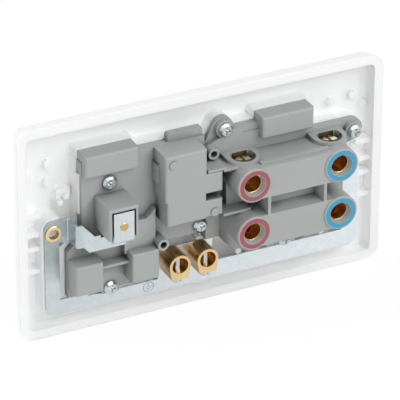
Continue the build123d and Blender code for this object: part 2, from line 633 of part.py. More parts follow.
# Socket housing: tray, lamp pocket, earth tower, two pin blocks and the opening under the switch cap
with BuildPart() as socket_housing:
    shell_of(socket_plan)
    lamp_pocket(SOCKET_X)
    flange_z = (TOP_Z - FLANGE_ROUND, FLANGE_TOP_Z)
    block(FLANGE_X, flange_z, (pad_y, pad_y + FLANGE_RISE), corner=FLANGE_ROUND)
    block(about(SOCKET_X, TOWER_HALF), TOWER_Z, (floor_y, TOWER_REAR_Y))
    for x in (line_x, neutral_x):
        z_span = about(pin_z, PIN_BLOCK_HALF_Z)
        block(about(x, PIN_BLOCK_HALF_X), z_span, (floor_y, PIN_BLOCK_REAR_Y))
    for edges in (
        socket_housing.faces().filter_by(Axis.Y).group_by(Axis.Y)[-1].edges(),
        socket_housing.faces().filter_by(Axis.Y).group_by(Axis.Y)[-2].edges(),
        socket_housing.faces().filter_by(Axis.Y).group_by(Axis.Y)[-3].edges(),
    ):
        fillet(edges, radius=SHELL_ROUND)
    with BuildSketch(level(BRIDGE_REAR_Y)) as bridge:
        Polygon(
            (SOCKET_X - TOWER_HALF + TOWER_WALL, TOWER_Z[0]),
            (COVER_X[1] + COVER_STEP + LUG_HALF, TOWER_Z[0]),
            (COVER_X[1] + COVER_STEP, TOWER_Z[0] + LUG_HALF),
            (COVER_X[1] + COVER_STEP, SWITCH_LOW_Z),
            (SOCKET_X - TOWER_HALF + TOWER_WALL, SWITCH_LOW_Z),
            align=None,
        )
    extrude(bridge.sketch, amount=BRIDGE_REAR_Y - floor_y)
    rib_x = (neutral_x + PIN_BLOCK_HALF_X, line_x - PIN_BLOCK_HALF_X)
    block(rib_x, about(PIN_RIB_Z, SHELF_THICK / 2), (floor_y, PIN_RIB_REAR_Y))
    post(LOWER_PILLAR, PILLAR_R, (floor_y, LOWER_PILLAR_Y))
    post(LOWER_PILLAR, PILLAR_HOLE_R, (floor_y, LOWER_PILLAR_Y), Mode.SUBTRACT)
    hollow_of(socket_plan)
    lamp_room(SOCKET_X)
    tower_room = (TOWER_Z[0] + TOWER_WALL, TOWER_Z[1] - TOWER_WALL)
    block(about(SOCKET_X, TOWER_HALF - TOWER_WALL), tower_room, (pad_y, TOWER_REAR_Y), Mode.SUBTRACT)
    mouth_z = (TOWER_Z[0], tower_room[0])
    mouth_y = (TONGUE_Y - STRAP_THICK, TOWER_REAR_Y)
    block(about(SOCKET_X, TOWER_HALF - TOWER_WALL), mouth_z, mouth_y, Mode.SUBTRACT)
    for x in (line_x, neutral_x):
        room_x = about(x, PIN_BLOCK_HALF_X - POCKET_WALL)
        room_z = about(pin_z, PIN_BLOCK_HALF_Z - POCKET_WALL)
        block(room_x, room_z, (pad_y, PIN_BLOCK_REAR_Y - POCKET_WALL), Mode.SUBTRACT)
    window_x = (COVER_X[0] + COVER_WALL, COVER_X[1] - COVER_STEP - COVER_WALL)
    window_z = (COVER_Z[0] + COVER_WALL, COVER_Z[1] - COVER_WALL)
    block(window_x, window_z, (ceiling_y, floor_y), Mode.SUBTRACT)
    link_z = (SOCKET_SCREWS[2][1] + SCREW_HEAD_R, window_z[0])
    block((seam_socket_x, seam_socket_x + HOUSING_WALL), link_z, (pad_y, ceiling_y), Mode.SUBTRACT)
    screw_holes(SOCKET_SCREWS)
save(socket_housing, "socket_housing")


def well(x, z, side, mode=Mode.ADD):
    """Screw well of one terminal: round towards the wall and flat towards the room."""
    with BuildSketch(Plane.XY.offset(z)) as plan:
        if mode == Mode.ADD:
            with Locations((x, WELL_CENTRE_Y)):
                Circle(WELL_HALF)
            with Locations((x, floor_y)):
                Rectangle(2 * WELL_HALF, WELL_CENTRE_Y - floor_y, align=(Align.CENTER, Align.MIN))
            with Locations((x, floor_y)):
                Rectangle(
                    2 * WELL_HALF, 2 * WELL_HALF, align=(Align.CENTER, Align.MAX), mode=Mode.SUBTRACT
                )
        else:
            with Locations((x, WELL_CENTRE_Y)):
                Circle(WELL_HOLE_R)
            with Locations((x, WELL_FLAT_Y)):
                Rectangle(
                    2 * WELL_HALF, 2 * WELL_HALF, align=(Align.CENTER, Align.MAX), mode=Mode.SUBTRACT
                )
    extrude(plan.sketch, amount=side * WELL_RISE, mode=mode)


terminals = (
    ("load_line", line_terminal_x, load_z, 1),
    ("load_neutral", neutral_terminal_x, load_z, 1),
    ("supply_line", line_terminal_x, supply_z, -1),
    ("supply_neutral", neutral_terminal_x, supply_z, -1),
)

# Cooker switch housing: tray, platform, two bars, four terminal tubes with screw wells, lugs and shelves
with BuildPart() as cooker_housing:
    shell_of(cooker_plan)
    lamp_pocket(cooker_pocket_x)
    fillet(cooker_housing.faces().sort_by(Axis.Y)[-1].edges(), radius=POCKET_ROUND)
    for lug in (top_lug, side_lug):
        with BuildSketch(level(lug_y)) as lug_plate:
            add(lug.sketch)
        extrude(lug_plate.sketch, amount=LUG_RISE)
    for centre in COOKER_SCREWS[:2]:
        post(centre, LUG_BOSS_R, (pad_y, floor_y))
    step_x = (cooker_pocket_x + POCKET_HALF, seam_cooker_x - TOP_LUG_BASE)
    block(step_x, (STEP_Z, TOP_Z), (floor_y - STEP_DROP, floor_y), Mode.SUBTRACT)
    bar_x = (neutral_terminal_x, line_terminal_x)
    platform_x = (neutral_terminal_x - PLATFORM_SIDE, line_terminal_x + PLATFORM_SIDE)
    block(platform_x, (supply_z - BAR_HALF, load_z + BAR_HALF), (floor_y, VALLEY_Y))
    for z in (load_z, supply_z):
        block(bar_x, about(z, BAR_HALF), (floor_y, BAR_REAR_Y))
    rib_half = TERMINAL_PITCH_X / 2 - TUBE_R + RIB_THICK / 2
    valley_z = (supply_z + BAR_HALF, load_z - BAR_HALF)
    for side in (-1, 1):
        rib_span = about(COOKER_X + side * rib_half, RIB_THICK / 2)
        block(rib_span, valley_z, (floor_y, BAR_REAR_Y))
    valley_half = rib_half - RIB_THICK / 2
    block(about(COOKER_X, valley_half), valley_z, (floor_y, BAR_REAR_Y))
    with BuildSketch(level(BAR_REAR_Y)) as valley:
        with Locations((COOKER_X, COOKER_Z)):
            Rectangle(2 * valley_half, valley_z[1] - valley_z[0])
    valley_depth = BAR_REAR_Y - VALLEY_FLOOR_Y
    extrude(valley.sketch, amount=valley_depth, taper=VALLEY_DRAFT, mode=Mode.SUBTRACT)
    ridge_x = about(COOKER_X, TERMINAL_PITCH_X / 2 - TUBE_R + RIDGE_LAP)
    block(ridge_x, (load_z + BAR_HALF, load_z + BAR_HALF + RIDGE_RISE), RIDGE_Y)
    for name, x, z, side in terminals:
        post((x, z), TUBE_R, (floor_y, TERMINAL_FACE_Y))
        well(x, z, side)
    chamfer(cooker_housing.faces().sort_by(Axis.Y)[-4:].edges(), length=TUBE_EDGE)
    shelf_x = (line_terminal_x, COVER_TAB_X - SEAM_GAP)
    block(shelf_x, (SHELF_UPPER_Z - SHELF_THICK, SHELF_UPPER_Z), (floor_y, SHELF_REAR_Y))
    roof_x = (COVER_TAB_X - SEAM_GAP - SHELF_THICK, COVER_X[0] - SEAM_GAP)
    roof_z = (COVER_TAB_Z[1] + ROOF_GAP, COVER_TAB_Z[1] + ROOF_GAP + SHELF_THICK)
    block(roof_x, roof_z, (floor_y, SHELF_REAR_Y))
    shelf_x = (SHELF_LOWER_END_X, COVER_TAB_X - SEAM_GAP)
    block(shelf_x, (SHELF_LOWER_Z - SHELF_THICK, SHELF_LOWER_Z), (floor_y, SHELF_REAR_Y))
    post(UPPER_PILLAR, PILLAR_R, (floor_y, UPPER_PILLAR_Y))
    post(UPPER_PILLAR, PILLAR_HOLE_R, (floor_y, UPPER_PILLAR_Y), Mode.SUBTRACT)
    hollow_of(cooker_plan)
    lamp_room(cooker_pocket_x)
    room_x = (platform_x[0] + HOUSING_WALL, platform_x[1] - HOUSING_WALL)
    room_z = (supply_z - BAR_HALF + HOUSING_WALL, load_z + BAR_HALF - HOUSING_WALL)
    block(room_x, room_z, (pad_y, VALLEY_CEILING_Y), Mode.SUBTRACT)
    valley_room = about(COOKER_X, valley_half - HOUSING_WALL)
    block(valley_room, valley_z, (pad_y, VALLEY_FLOOR_Y - HOUSING_WALL), Mode.SUBTRACT)
    for z in (load_z, supply_z):
        bar_room = about(z, BAR_HALF - HOUSING_WALL)
        block(room_x, bar_room, (pad_y, BAR_CEILING_Y), Mode.SUBTRACT)
    for name, x, z, side in terminals:
        post((x, z), BARREL_R + BARREL_FIT, (pad_y, barrel_rear_y + BARREL_FIT), Mode.SUBTRACT)
        post((x, z), throat_r, (barrel_rear_y, TERMINAL_FACE_Y), Mode.SUBTRACT)
        with BuildSketch(level(TERMINAL_FACE_Y)) as mouth:
            with Locations((x, z)):
                Circle(MOUTH_R)
        extrude(mouth.sketch, amount=MOUTH_DEPTH, taper=mouth_taper, mode=Mode.SUBTRACT)
        well(x, z, side, Mode.SUBTRACT)
    seam_span = (seam_cooker_x - HOUSING_WALL, seam_cooker_x)
    block(seam_span, link_z, (pad_y, ceiling_y), Mode.SUBTRACT)
    screw_holes(COOKER_SCREWS)
save(cooker_housing, "cooker_housing")

# Cap over the socket's switch: stepped box with a notched tab, a latch and two staked pips
with BuildPart() as link_cover:
    with BuildSketch(level(COVER_REAR_Y)) as cap:
        with Locations((COVER_X[0], COVER_Z[0])):
            Rectangle(COVER_X[1] - COVER_X[0], COVER_Z[1] - COVER_Z[0], align=Align.MIN)
        with Locations((COVER_TAB_X, COVER_TAB_Z[0])):
            Rectangle(COVER_X[0] - COVER_TAB_X, COVER_TAB_Z[1] - COVER_TAB_Z[0], align=Align.MIN)
        with Locations((COVER_NOTCH_X, COVER_NOTCH_Z[0])):
            Rectangle(
                COVER_NOTCH_X - COVER_TAB_X,
                COVER_NOTCH_Z[1] - COVER_NOTCH_Z[0],
                align=(Align.MAX, Align.MIN),
                mode=Mode.SUBTRACT,
            )
        with Locations((COVER_X[1], COVER_STEP_Z)):
            Rectangle(
                COVER_STEP, COVER_STEP_Z - COVER_Z[0], align=(Align.MAX, Align.MAX), mode=Mode.SUBTRACT
            )
    extrude(amount=COVER_REAR_Y - floor_y)
    fillet(link_cover.faces().sort_by(Axis.Y)[-1].edges(), radius=SHELL_ROUND)
    block((COVER_X[1], COVER_X[1] + LATCH_PROUD), LATCH_Z, (floor_y, floor_y + LATCH_RISE))
    for centre in COVER_PIPS:
        post(centre, COVER_PIP_R, (COVER_REAR_Y, COVER_REAR_Y + COVER_PIP_H))
    cap_room_y = (floor_y, COVER_REAR_Y - COVER_WALL)
    block(window_x, window_z, cap_room_y, Mode.SUBTRACT)
    tab_room_x = (COVER_TAB_X + COVER_WALL, window_x[0])
    for low, high in ((COVER_TAB_Z[0], COVER_NOTCH_Z[0]), (COVER_NOTCH_Z[1], COVER_TAB_Z[1])):
        block(tab_room_x, (low + COVER_WALL, high - COVER_WALL), cap_room_y, Mode.SUBTRACT)
save(link_cover, "link_cover")

# Housing screws: pan heads with a cross recess
with BuildPart() as housing_screws:
    for centre in SOCKET_SCREWS + COOKER_SCREWS:
        post(centre, SCREW_HEAD_R, (floor_y, floor_y + SCREW_HEAD_H))
    chamfer(housing_screws.faces().group_by(Axis.Y)[-1].edges(), length=SCREW_HEAD_EDGE)
    for x, z in SOCKET_SCREWS + COOKER_SCREWS:
        post((x, z), SCREW_R, (floor_y - SCREW_REACH, floor_y))
        cross_y = (floor_y + SCREW_HEAD_H - CROSS_DEEP, floor_y + SCREW_HEAD_H)
        block(about(x, CROSS_LONG / 2), about(z, CROSS_WIDE / 2), cross_y, Mode.SUBTRACT)
        block(about(x, CROSS_WIDE / 2), about(z, CROSS_LONG / 2), cross_y, Mode.SUBTRACT)
save(housing_screws, "housing_screws")

# Terminals: bored brass barrels, each with a tongue into the switch chamber
cooker_fixed_y = fixed_face(COOKER_ARM)
for name, x, z, side in terminals:
    inward = 1 if x < COOKER_X else -1
    pole_x = COOKER_X - inward * POLE_HALF_PITCH
    tongue_front = cooker_fixed_y + BUTTON_THICK
    tongue_y = (tongue_front, tongue_front + TONGUE_THICK)
    tongue_x = sorted((x, pole_x + inward * CONTACT_WIDTH / 2))
    with BuildPart() as terminal:
        post((x, z), BARREL_R, (BARREL_FRONT_Y, barrel_rear_y))
        block(tongue_x, about(z, TONGUE_HALF), tongue_y)
        if side > 0:
            post((pole_x, COOKER_Z + COOKER_ARM), BUTTON_R, (cooker_fixed_y, tongue_front))
        else:
            pole_span = about(pole_x, CONTACT_WIDTH / 2)
            riser_z = (z + TONGUE_HALF - STRIP_THICK, z + TONGUE_HALF)
            block(pole_span, riser_z, (saddle_strip_y, tongue_y[1]))
            strip_z = (riser_z[0], COOKER_Z + TONGUE_THICK)
            block(pole_span, strip_z, (saddle_strip_y, saddle_strip_y + STRIP_THICK))
            block(pole_span, about(COOKER_Z, SADDLE_HALF), (saddle_y, saddle_strip_y))
        post((x, z), BORE_R, (bore_front_y, barrel_rear_y), Mode.SUBTRACT)
        hole_z = sorted((z, z + side * TUBE_R))
        stud(x, CLAMP_Y, CLAMP_R + CLAMP_FIT, hole_z, Mode.SUBTRACT)
    save(terminal, f"{name}_terminal")
    tip_z = z + side * (BORE_R + CLAMP_CLEAR)
    head_z = tip_z + side * CLAMP_LENGTH
    with BuildPart() as screw:
        stud(x, CLAMP_Y, CLAMP_R, sorted((tip_z, head_z)))
        slot_z = sorted((head_z, head_z - side * CLAMP_SLOT_DEPTH))
        slot_x = about(x, CLAMP_SLOT_WIDTH / 2)
        block(slot_x, slot_z, about(CLAMP_Y, 2 * CLAMP_R), Mode.SUBTRACT)
    save(screw, f"{name}_screw")


def make_rocker(x, z, half, radius, poles):
    """Rocker at its off position: curved ends, hollow back, plunger hubs and pivot pins."""
    plane = tilted(x, PIVOT_Y, z, -tilt)
    front = face_y - ROCKER_PROUD - PIVOT_Y
    crown = sqrt(radius**2 - front**2)
    inner = front + ROCKER_WALL
    with BuildPart() as rocker:
        with BuildSketch(plane) as side_view:
            Circle(radius)
            with Locations(((front + ROCKER_REAR) / 2, 0)):
                Rectangle(ROCKER_REAR - front, 2 * radius, mode=Mode.INTERSECT)
        extrude(side_view.sketch, amount=half, both=True)
        fillet(rocker.faces().sort_by(Axis((0, 0, 0), plane.x_dir))[0].edges(), radius=ROCKER_ROUND)
        with BuildSketch(plane) as hollow:
            with Locations(((inner + ROCKER_REAR) / 2, 0)):
                Rectangle(ROCKER_REAR - inner, 2 * (crown - ROCKER_WALL))
        extrude(hollow.sketch, amount=half - ROCKER_WALL, both=True, mode=Mode.SUBTRACT)
        with BuildSketch(plane) as cheek:
            with Locations(((inner + HUB_REAR) / 2, 0)):
                Rectangle(HUB_REAR - inner, 2 * HUB_HALF)
        extrude(cheek.sketch, amount=half, both=True)
        for gap in (-1, 1):
            with BuildSketch(plane.offset(gap * half)) as pin:
                Circle(PIVOT_R)
            extrude(pin.sketch, amount=gap * PIVOT_LENGTH)
        for pole in poles:
            bore_plane = Plane(
                origin=(pole, PIVOT_Y, z), x_dir=(1, 0, 0), z_dir=plane.x_dir
            ).offset(PLUNGER_BOTTOM)
            with BuildSketch(bore_plane) as bore:
                Circle(PLUNGER_R + PLUNGER_FIT)
            extrude(bore.sketch, amount=HUB_REAR - PLUNGER_BOTTOM, mode=Mode.SUBTRACT)
    return rocker


def make_plungers(z, poles):
    """Plungers that slide in the rocker, with blunt conical tips."""
    with BuildPart() as plungers:
        for pole in poles:
            seat = Plane(
                origin=(pole, PIVOT_Y, z), x_dir=(1, 0, 0), z_dir=tilted(0, 0, 0, -tilt).x_dir
            ).offset(PLUNGER_FRONT)
            with BuildSketch(seat) as rod:
                Circle(PLUNGER_R)
            extrude(rod.sketch, amount=PLUNGER_TIP - PLUNGER_FRONT)
        tips = plungers.faces().filter_by(GeomType.PLANE).group_by(Axis.Y)[-1]
        chamfer(tips.edges(), length=PLUNGER_EDGE)
    return plungers


def make_coils(seats, pitch, length):
    """Coil springs, one on each seat plane."""
    with BuildPart() as coils:
        for seat in seats:
            rise = length - 2 * (SPRING_WIRE + SPRING_GAP)
            with BuildLine() as path:
                Helix(pitch, rise, SPRING_R, center=seat.origin, direction=seat.z_dir)
            start = path.line @ 0
            with BuildSketch(Plane(origin=start, z_dir=path.line % 0)) as wire:
                RegularPolygon(SPRING_WIRE, SPRING_SIDES)
            sweep(wire.sketch, path=path.line)
    return coils


def plunger_seats(z, poles):
    """Planes at the bottom of each plunger bore."""
    along = tilted(0, 0, 0, -tilt).x_dir
    seat_rise = SPRING_WIRE + SPRING_GAP
    return [
        Plane(origin=(pole, PIVOT_Y, z), x_dir=(1, 0, 0), z_dir=along).offset(PLUNGER_BOTTOM + seat_rise)
        for pole in poles
    ]


def make_contact(pole, z, arm):
    """Rocking contact at its open position, with a contact button."""
    plane = tilted(pole, contact_pivot_y, z, tilt)
    with BuildPart() as contact:
        with BuildSketch(plane) as bar:
            with Locations((-CONTACT_THICK, -CONTACT_TAIL)):
                Rectangle(CONTACT_THICK, CONTACT_TAIL + arm + CONTACT_END, align=Align.MIN)
        extrude(bar.sketch, amount=CONTACT_WIDTH / 2, both=True)
        seat = plane.from_local_coords((0, arm, 0))
        with BuildSketch(Plane(origin=seat, x_dir=(1, 0, 0), z_dir=plane.x_dir)) as button:
            Circle(BUTTON_R)
        extrude(button.sketch, amount=BUTTON_THICK)
    return contact


# Moving pieces of the double-pole switch
poles = (COOKER_X + POLE_HALF_PITCH, COOKER_X - POLE_HALF_PITCH)
coil_length = PLUNGER_FRONT - PLUNGER_BOTTOM
save(make_rocker(COOKER_X, COOKER_Z, COOKER_ROCKER_HALF, COOKER_ROCKER_R, poles), "cooker_rocker")
save(make_plungers(COOKER_Z, poles), "cooker_plungers")
seats = plunger_seats(COOKER_Z, poles)
save(make_coils(seats, PLUNGER_SPRING_PITCH, coil_length), "cooker_plunger_springs")
save(make_contact(poles[0], COOKER_Z, COOKER_ARM), "line_moving_contact")
save(make_contact(poles[1], COOKER_Z, COOKER_ARM), "neutral_moving_contact")

# Moving pieces of the socket's switch
pole = (SOCKET_SWITCH_X,)
save(
    make_rocker(SOCKET_SWITCH_X, SOCKET_SWITCH_Z, SOCKET_ROCKER_HALF, SOCKET_ROCKER_R, pole),
    "socket_rocker",
)
save(make_plungers(SOCKET_SWITCH_Z, pole), "socket_plunger")
save(
    make_coils(plunger_seats(SOCKET_SWITCH_Z, pole), PLUNGER_SPRING_PITCH, coil_length),
    "socket_plunger_spring",
)
save(make_contact(SOCKET_SWITCH_X, SOCKET_SWITCH_Z, SOCKET_ARM), "socket_moving_contact")

strip_y = (STRIP_Y, STRIP_Y + STRIP_THICK)
fork_rear = PIN_BLOCK_REAR_Y - POCKET_WALL - FORK_REAR_GAP


def pin_fork(x):
    """Pair of spring leaves round a flat pin, closed at the back."""
    outer = about(pin_z, FORK_GRIP + FORK_THICK)
    block(about(x, FORK_HALF), outer, (STRIP_Y, fork_rear))
    block(about(x, FORK_HALF), about(pin_z, FORK_GRIP), (STRIP_Y, fork_rear - FORK_THICK), Mode.SUBTRACT)


# Line contact: fork, strip past the earth tower, and the saddle of the socket's switch
socket_pole = about(SOCKET_SWITCH_X, CONTACT_WIDTH / 2)
strip_top = (POCKET_LOW_Z - STRIP_WIDE / 2, POCKET_LOW_Z + STRIP_WIDE / 2)
riser_x = (socket_pole[1] + STRIP_WIDE, socket_pole[1] + STRIP_WIDE + STRIP_THICK)
with BuildPart() as line_contact:
    pin_fork(line_x)
    strip_x = (SOCKET_LEFT_X - STRIP_INSET - STRIP_WIDE, SOCKET_LEFT_X - STRIP_INSET)
    jog_z = (pin_z + FORK_GRIP, pin_z + FORK_GRIP + STRIP_WIDE)
    block((strip_x[0], line_x), jog_z, strip_y)
    block(strip_x, (jog_z[0], strip_top[1]), strip_y)
    block((riser_x[0], strip_x[1]), strip_top, strip_y)
    saddle_span = (saddle_strip_y, saddle_strip_y + STRIP_THICK)
    block(riser_x, strip_top, (STRIP_Y, saddle_span[1]))
    drop_z = (SOCKET_SWITCH_Z - STRIP_THICK, strip_top[1])
    block((riser_x[0] - STRIP_THICK, riser_x[1]), drop_z, saddle_span)
    block((socket_pole[0], riser_x[1]), about(SOCKET_SWITCH_Z, STRIP_THICK), saddle_span)
    block(socket_pole, about(SOCKET_SWITCH_Z, SADDLE_HALF), (saddle_y, saddle_strip_y))
save(line_contact, "line_socket_contact")

# Neutral contact: fork and the strip to the neutral supply terminal
neutral_strip_z = (supply_z + BORE_R, supply_z + BORE_R + STRIP_WIDE)
with BuildPart() as neutral_contact:
    pin_fork(neutral_x)
    strip_x = (neutral_x - FORK_HALF, neutral_x - FORK_HALF + STRIP_WIDE)
    block(strip_x, (pin_z + FORK_GRIP, neutral_strip_z[1]), strip_y)
    tab_x = about(neutral_terminal_x, STRIP_WIDE)
    block((tab_x[0], strip_x[1]), neutral_strip_z, strip_y)
    riser_z = (neutral_strip_z[1] - STRIP_THICK, neutral_strip_z[1])
    block(tab_x, riser_z, (STRIP_Y, BARREL_FRONT_Y))
    block(tab_x, (supply_z - BORE_R, neutral_strip_z[1]), (BARREL_FRONT_Y - STRIP_THICK, BARREL_FRONT_Y))
save(neutral_contact, "neutral_socket_contact")

# Link from the supply line terminal to the fixed contact of the socket's switch
socket_fixed_y = fixed_face(SOCKET_ARM)
with BuildPart() as line_link:
    tab_x = about(line_terminal_x, STRIP_WIDE)
    link_strip_z = (window_z[0] - LINK_GAP - STRIP_WIDE, window_z[0] - LINK_GAP)
    tab_y = (BARREL_FRONT_Y - STRIP_THICK, BARREL_FRONT_Y)
    drop_x = (tab_x[1] + LINK_GAP, tab_x[1] + LINK_GAP + STRIP_THICK)
    block(tab_x, (supply_z - BORE_R, link_strip_z[1]), tab_y)
    block((tab_x[0], drop_x[1]), link_strip_z, tab_y)
    block(drop_x, link_strip_z, (STRIP_Y, BARREL_FRONT_Y))
    block((drop_x[0], socket_pole[1]), link_strip_z, strip_y)
    foot_z = (window_z[0] + FOOT_GAP, window_z[0] + FOOT_GAP + STRIP_THICK)
    block(socket_pole, (link_strip_z[0], foot_z[1]), strip_y)
    arm_y = (socket_fixed_y + BUTTON_THICK, socket_fixed_y + BUTTON_THICK + STRIP_THICK)
    block(socket_pole, foot_z, (STRIP_Y, arm_y[1]))
    block(socket_pole, (foot_z[0], SOCKET_SWITCH_Z + SOCKET_ARM + CONTACT_END), arm_y)
    post((SOCKET_SWITCH_X, SOCKET_SWITCH_Z + SOCKET_ARM), BUTTON_R, (socket_fixed_y, arm_y[0]))
save(line_link, "line_link")

# Earth strap: one folded sheet with the lug, the tongue and the plate in the earth tower
with BuildPart() as earth_strap:
    with BuildSketch(level(strap_rear_y)):
        add(strap_plan.sketch)
    extrude(amount=STRAP_THICK)
    half = STRAP_THICK / 2
    with BuildSketch(Plane.XY.offset(FOLD_Z[0])) as step:
        with BuildLine():
            FilletPolyline(
                (STRAP_LEG_X[1], strap_front_y + half),
                (FOLD_X, strap_front_y + half),
                (FOLD_X, TONGUE_Y),
                (FOLD_X - FOLD_RUN, TONGUE_Y),
                radius=FOLD_R,
            )
        trace(line_width=STRAP_THICK)
    extrude(amount=FOLD_Z[1] - FOLD_Z[0])
    tongue_end_x = SOCKET_X - EARTH_PLATE_HALF
    with BuildSketch(level(TONGUE_Y + half)):
        Polygon(
            (FOLD_X - 2 * FOLD_R, FOLD_Z[1]),
            (TONGUE_NECK_X, EARTH_RISER_Z + half),
            (SOCKET_X + TOWER_HALF, EARTH_RISER_Z + half),
            (SOCKET_X + TOWER_HALF, EARTH_RISER_Z - half),
            (tongue_end_x, EARTH_RISER_Z - half),
            (tongue_end_x, EARTH_TONGUE_LOW_Z),
            (TONGUE_HEEL_X, EARTH_TONGUE_LOW_Z),
            (FOLD_X - FOLD_RUN, FOLD_Z[0]),
            (FOLD_X - 2 * FOLD_R, FOLD_Z[0]),
            align=None,
        )
    extrude(amount=STRAP_THICK)
    with BuildSketch(Plane.YZ.offset(tongue_end_x)) as rise:
        with BuildLine():
            FilletPolyline(
                (TONGUE_Y, EARTH_TONGUE_LOW_Z / 2),
                (TONGUE_Y, EARTH_RISER_Z),
                (EARTH_PLATE_Y, EARTH_RISER_Z),
                (EARTH_PLATE_Y, EARTH_PLATE_TOP_Z),
                radius=FOLD_R,
            )
        trace(line_width=STRAP_THICK)
    extrude(amount=2 * EARTH_PLATE_HALF)
    for side in (-1, 1):
        hole_r = FIXING_HOLE_R + EYELET_WALL + EYELET_FIT
        post((side * FIXING_PITCH / 2, 0), hole_r, (strap_front_y, strap_rear_y), Mode.SUBTRACT)
    for x in EARTH_TERMINAL_X:
        post((x, EARTH_BORE_Z), TENON_R + TENON_FIT, (strap_front_y, strap_rear_y), Mode.SUBTRACT)
    symbol_y = (strap_rear_y - SYMBOL_DEPTH, strap_rear_y)
    with BuildSketch(level(strap_rear_y)):
        with Locations(SYMBOL):
            Circle(SYMBOL_R)
            Circle(SYMBOL_R - SYMBOL_LINE, mode=Mode.SUBTRACT)
    extrude(amount=SYMBOL_DEPTH, mode=Mode.SUBTRACT)
    stem_z = (SYMBOL[1], SYMBOL[1] + SYMBOL_STEM)
    block(about(SYMBOL[0], SYMBOL_LINE / 2), stem_z, symbol_y, Mode.SUBTRACT)
    for row in range(3):
        bar_z = SYMBOL[1] - row * SYMBOL_PITCH
        bar_half = SYMBOL_BAR / 2 - row * SYMBOL_LINE
        block(about(SYMBOL[0], bar_half), about(bar_z, SYMBOL_LINE / 2), symbol_y, Mode.SUBTRACT)
    plate_y = (EARTH_PLATE_Y - half, EARTH_PLATE_Y + half)
    post((SOCKET_X, EARTH_Z), RIVET_R + RIVET_FIT, plate_y, Mode.SUBTRACT)
save(earth_strap, "earth_strap")

# Eyelets in the strap at the fixing holes
eyelet_y = (strap_front_y - EYELET_FLANGE, strap_rear_y + EYELET_FLANGE)
with BuildPart() as eyelets:
    for side in (-1, 1):
        centre = (side * FIXING_PITCH / 2, 0)
        post(centre, FIXING_HOLE_R + EYELET_WALL, eyelet_y)
        post(centre, EYELET_FLANGE_R, (eyelet_y[0], strap_front_y))
        post(centre, EYELET_FLANGE_R, (strap_rear_y, eyelet_y[1]))
    chamfer(eyelets.faces().group_by(Axis.Y)[-1].edges(), length=EYELET_EDGE)
    for side in (-1, 1):
        post((side * FIXING_PITCH / 2, 0), FIXING_HOLE_R, eyelet_y, Mode.SUBTRACT)
save(eyelets, "strap_eyelets")

# Earth terminals: arched brass blocks riveted to the strap, and their screws from below
for name, x in zip(("earth_terminal_left", "earth_terminal_right"), EARTH_TERMINAL_X):
    with BuildPart() as earth_terminal:
        with BuildSketch(level(EARTH_FACE_Y)):
            with Locations((x, EARTH_BORE_Z)):
                Circle(EARTH_BODY_R)
            with Locations((x, EARTH_FOOT_Z)):
                Rectangle(2 * EARTH_FOOT_HALF, EARTH_FOOT_RISE, align=(Align.CENTER, Align.MIN))
            make_hull()
        extrude(amount=EARTH_FACE_Y - strap_rear_y)
        post((x, EARTH_BORE_Z), TENON_R, (strap_front_y, strap_rear_y))
        bore_y = (EARTH_FACE_Y - EARTH_BORE_DEPTH, EARTH_FACE_Y)
        post((x, EARTH_BORE_Z), EARTH_BORE_R, bore_y, Mode.SUBTRACT)
        screw_hole_z = (EARTH_FOOT_Z, EARTH_BORE_Z)
        stud(x, EARTH_SCREW_Y, EARTH_SCREW_R + CLAMP_FIT, screw_hole_z, Mode.SUBTRACT)
    save(earth_terminal, name)
    head_top = EARTH_FOOT_Z - EARTH_SCREW_BACKOFF
    head_low = head_top - EARTH_SCREW_HEAD_H
    with BuildPart() as earth_screw:
        tip_z = EARTH_BORE_Z + sqrt(EARTH_BORE_R**2 - EARTH_SCREW_R**2) - CLAMP_CLEAR
        stud(x, EARTH_SCREW_Y, EARTH_SCREW_R, (head_top, tip_z))
        stud(x, EARTH_SCREW_Y, EARTH_SCREW_HEAD_R, (head_low, head_top))
        slot_y = about(EARTH_SCREW_Y, 2 * EARTH_SCREW_HEAD_R)
        slot_z = (head_low, head_low + CLAMP_SLOT_DEPTH)
        block(about(x, CLAMP_SLOT_WIDTH / 2), slot_z, slot_y, Mode.SUBTRACT)
    save(earth_screw, name.replace("terminal", "screw"))

# Earth contact in its tower, held to the strap's plate by a rivet
contact_rear = EARTH_PLATE_Y - STRAP_THICK / 2
with BuildPart() as earth_contact:
    fork_z = about(EARTH_Z, EARTH_FORK_HALF)
    block(about(SOCKET_X, FORK_GRIP + FORK_THICK), fork_z, (EARTH_FORK_FRONT_Y, contact_rear))
    grip_y = (EARTH_FORK_FRONT_Y, contact_rear - FORK_THICK)
    block(about(SOCKET_X, FORK_GRIP), fork_z, grip_y, Mode.SUBTRACT)
    post((SOCKET_X, EARTH_Z), RIVET_R + RIVET_FIT, (contact_rear - FORK_THICK, contact_rear), Mode.SUBTRACT)
save(earth_contact, "earth_socket_contact")
with BuildPart() as rivet:
    head_y = contact_rear + STRAP_THICK
    post((SOCKET_X, EARTH_Z), RIVET_R, (contact_rear - FORK_THICK, head_y))
    post((SOCKET_X, EARTH_Z), RIVET_HEAD_R, (head_y, head_y + RIVET_HEAD_H))
    chamfer(rivet.faces().sort_by(Axis.Y)[-1].edges(), length=RIVET_EDGE)
save(rivet, "earth_rivet")

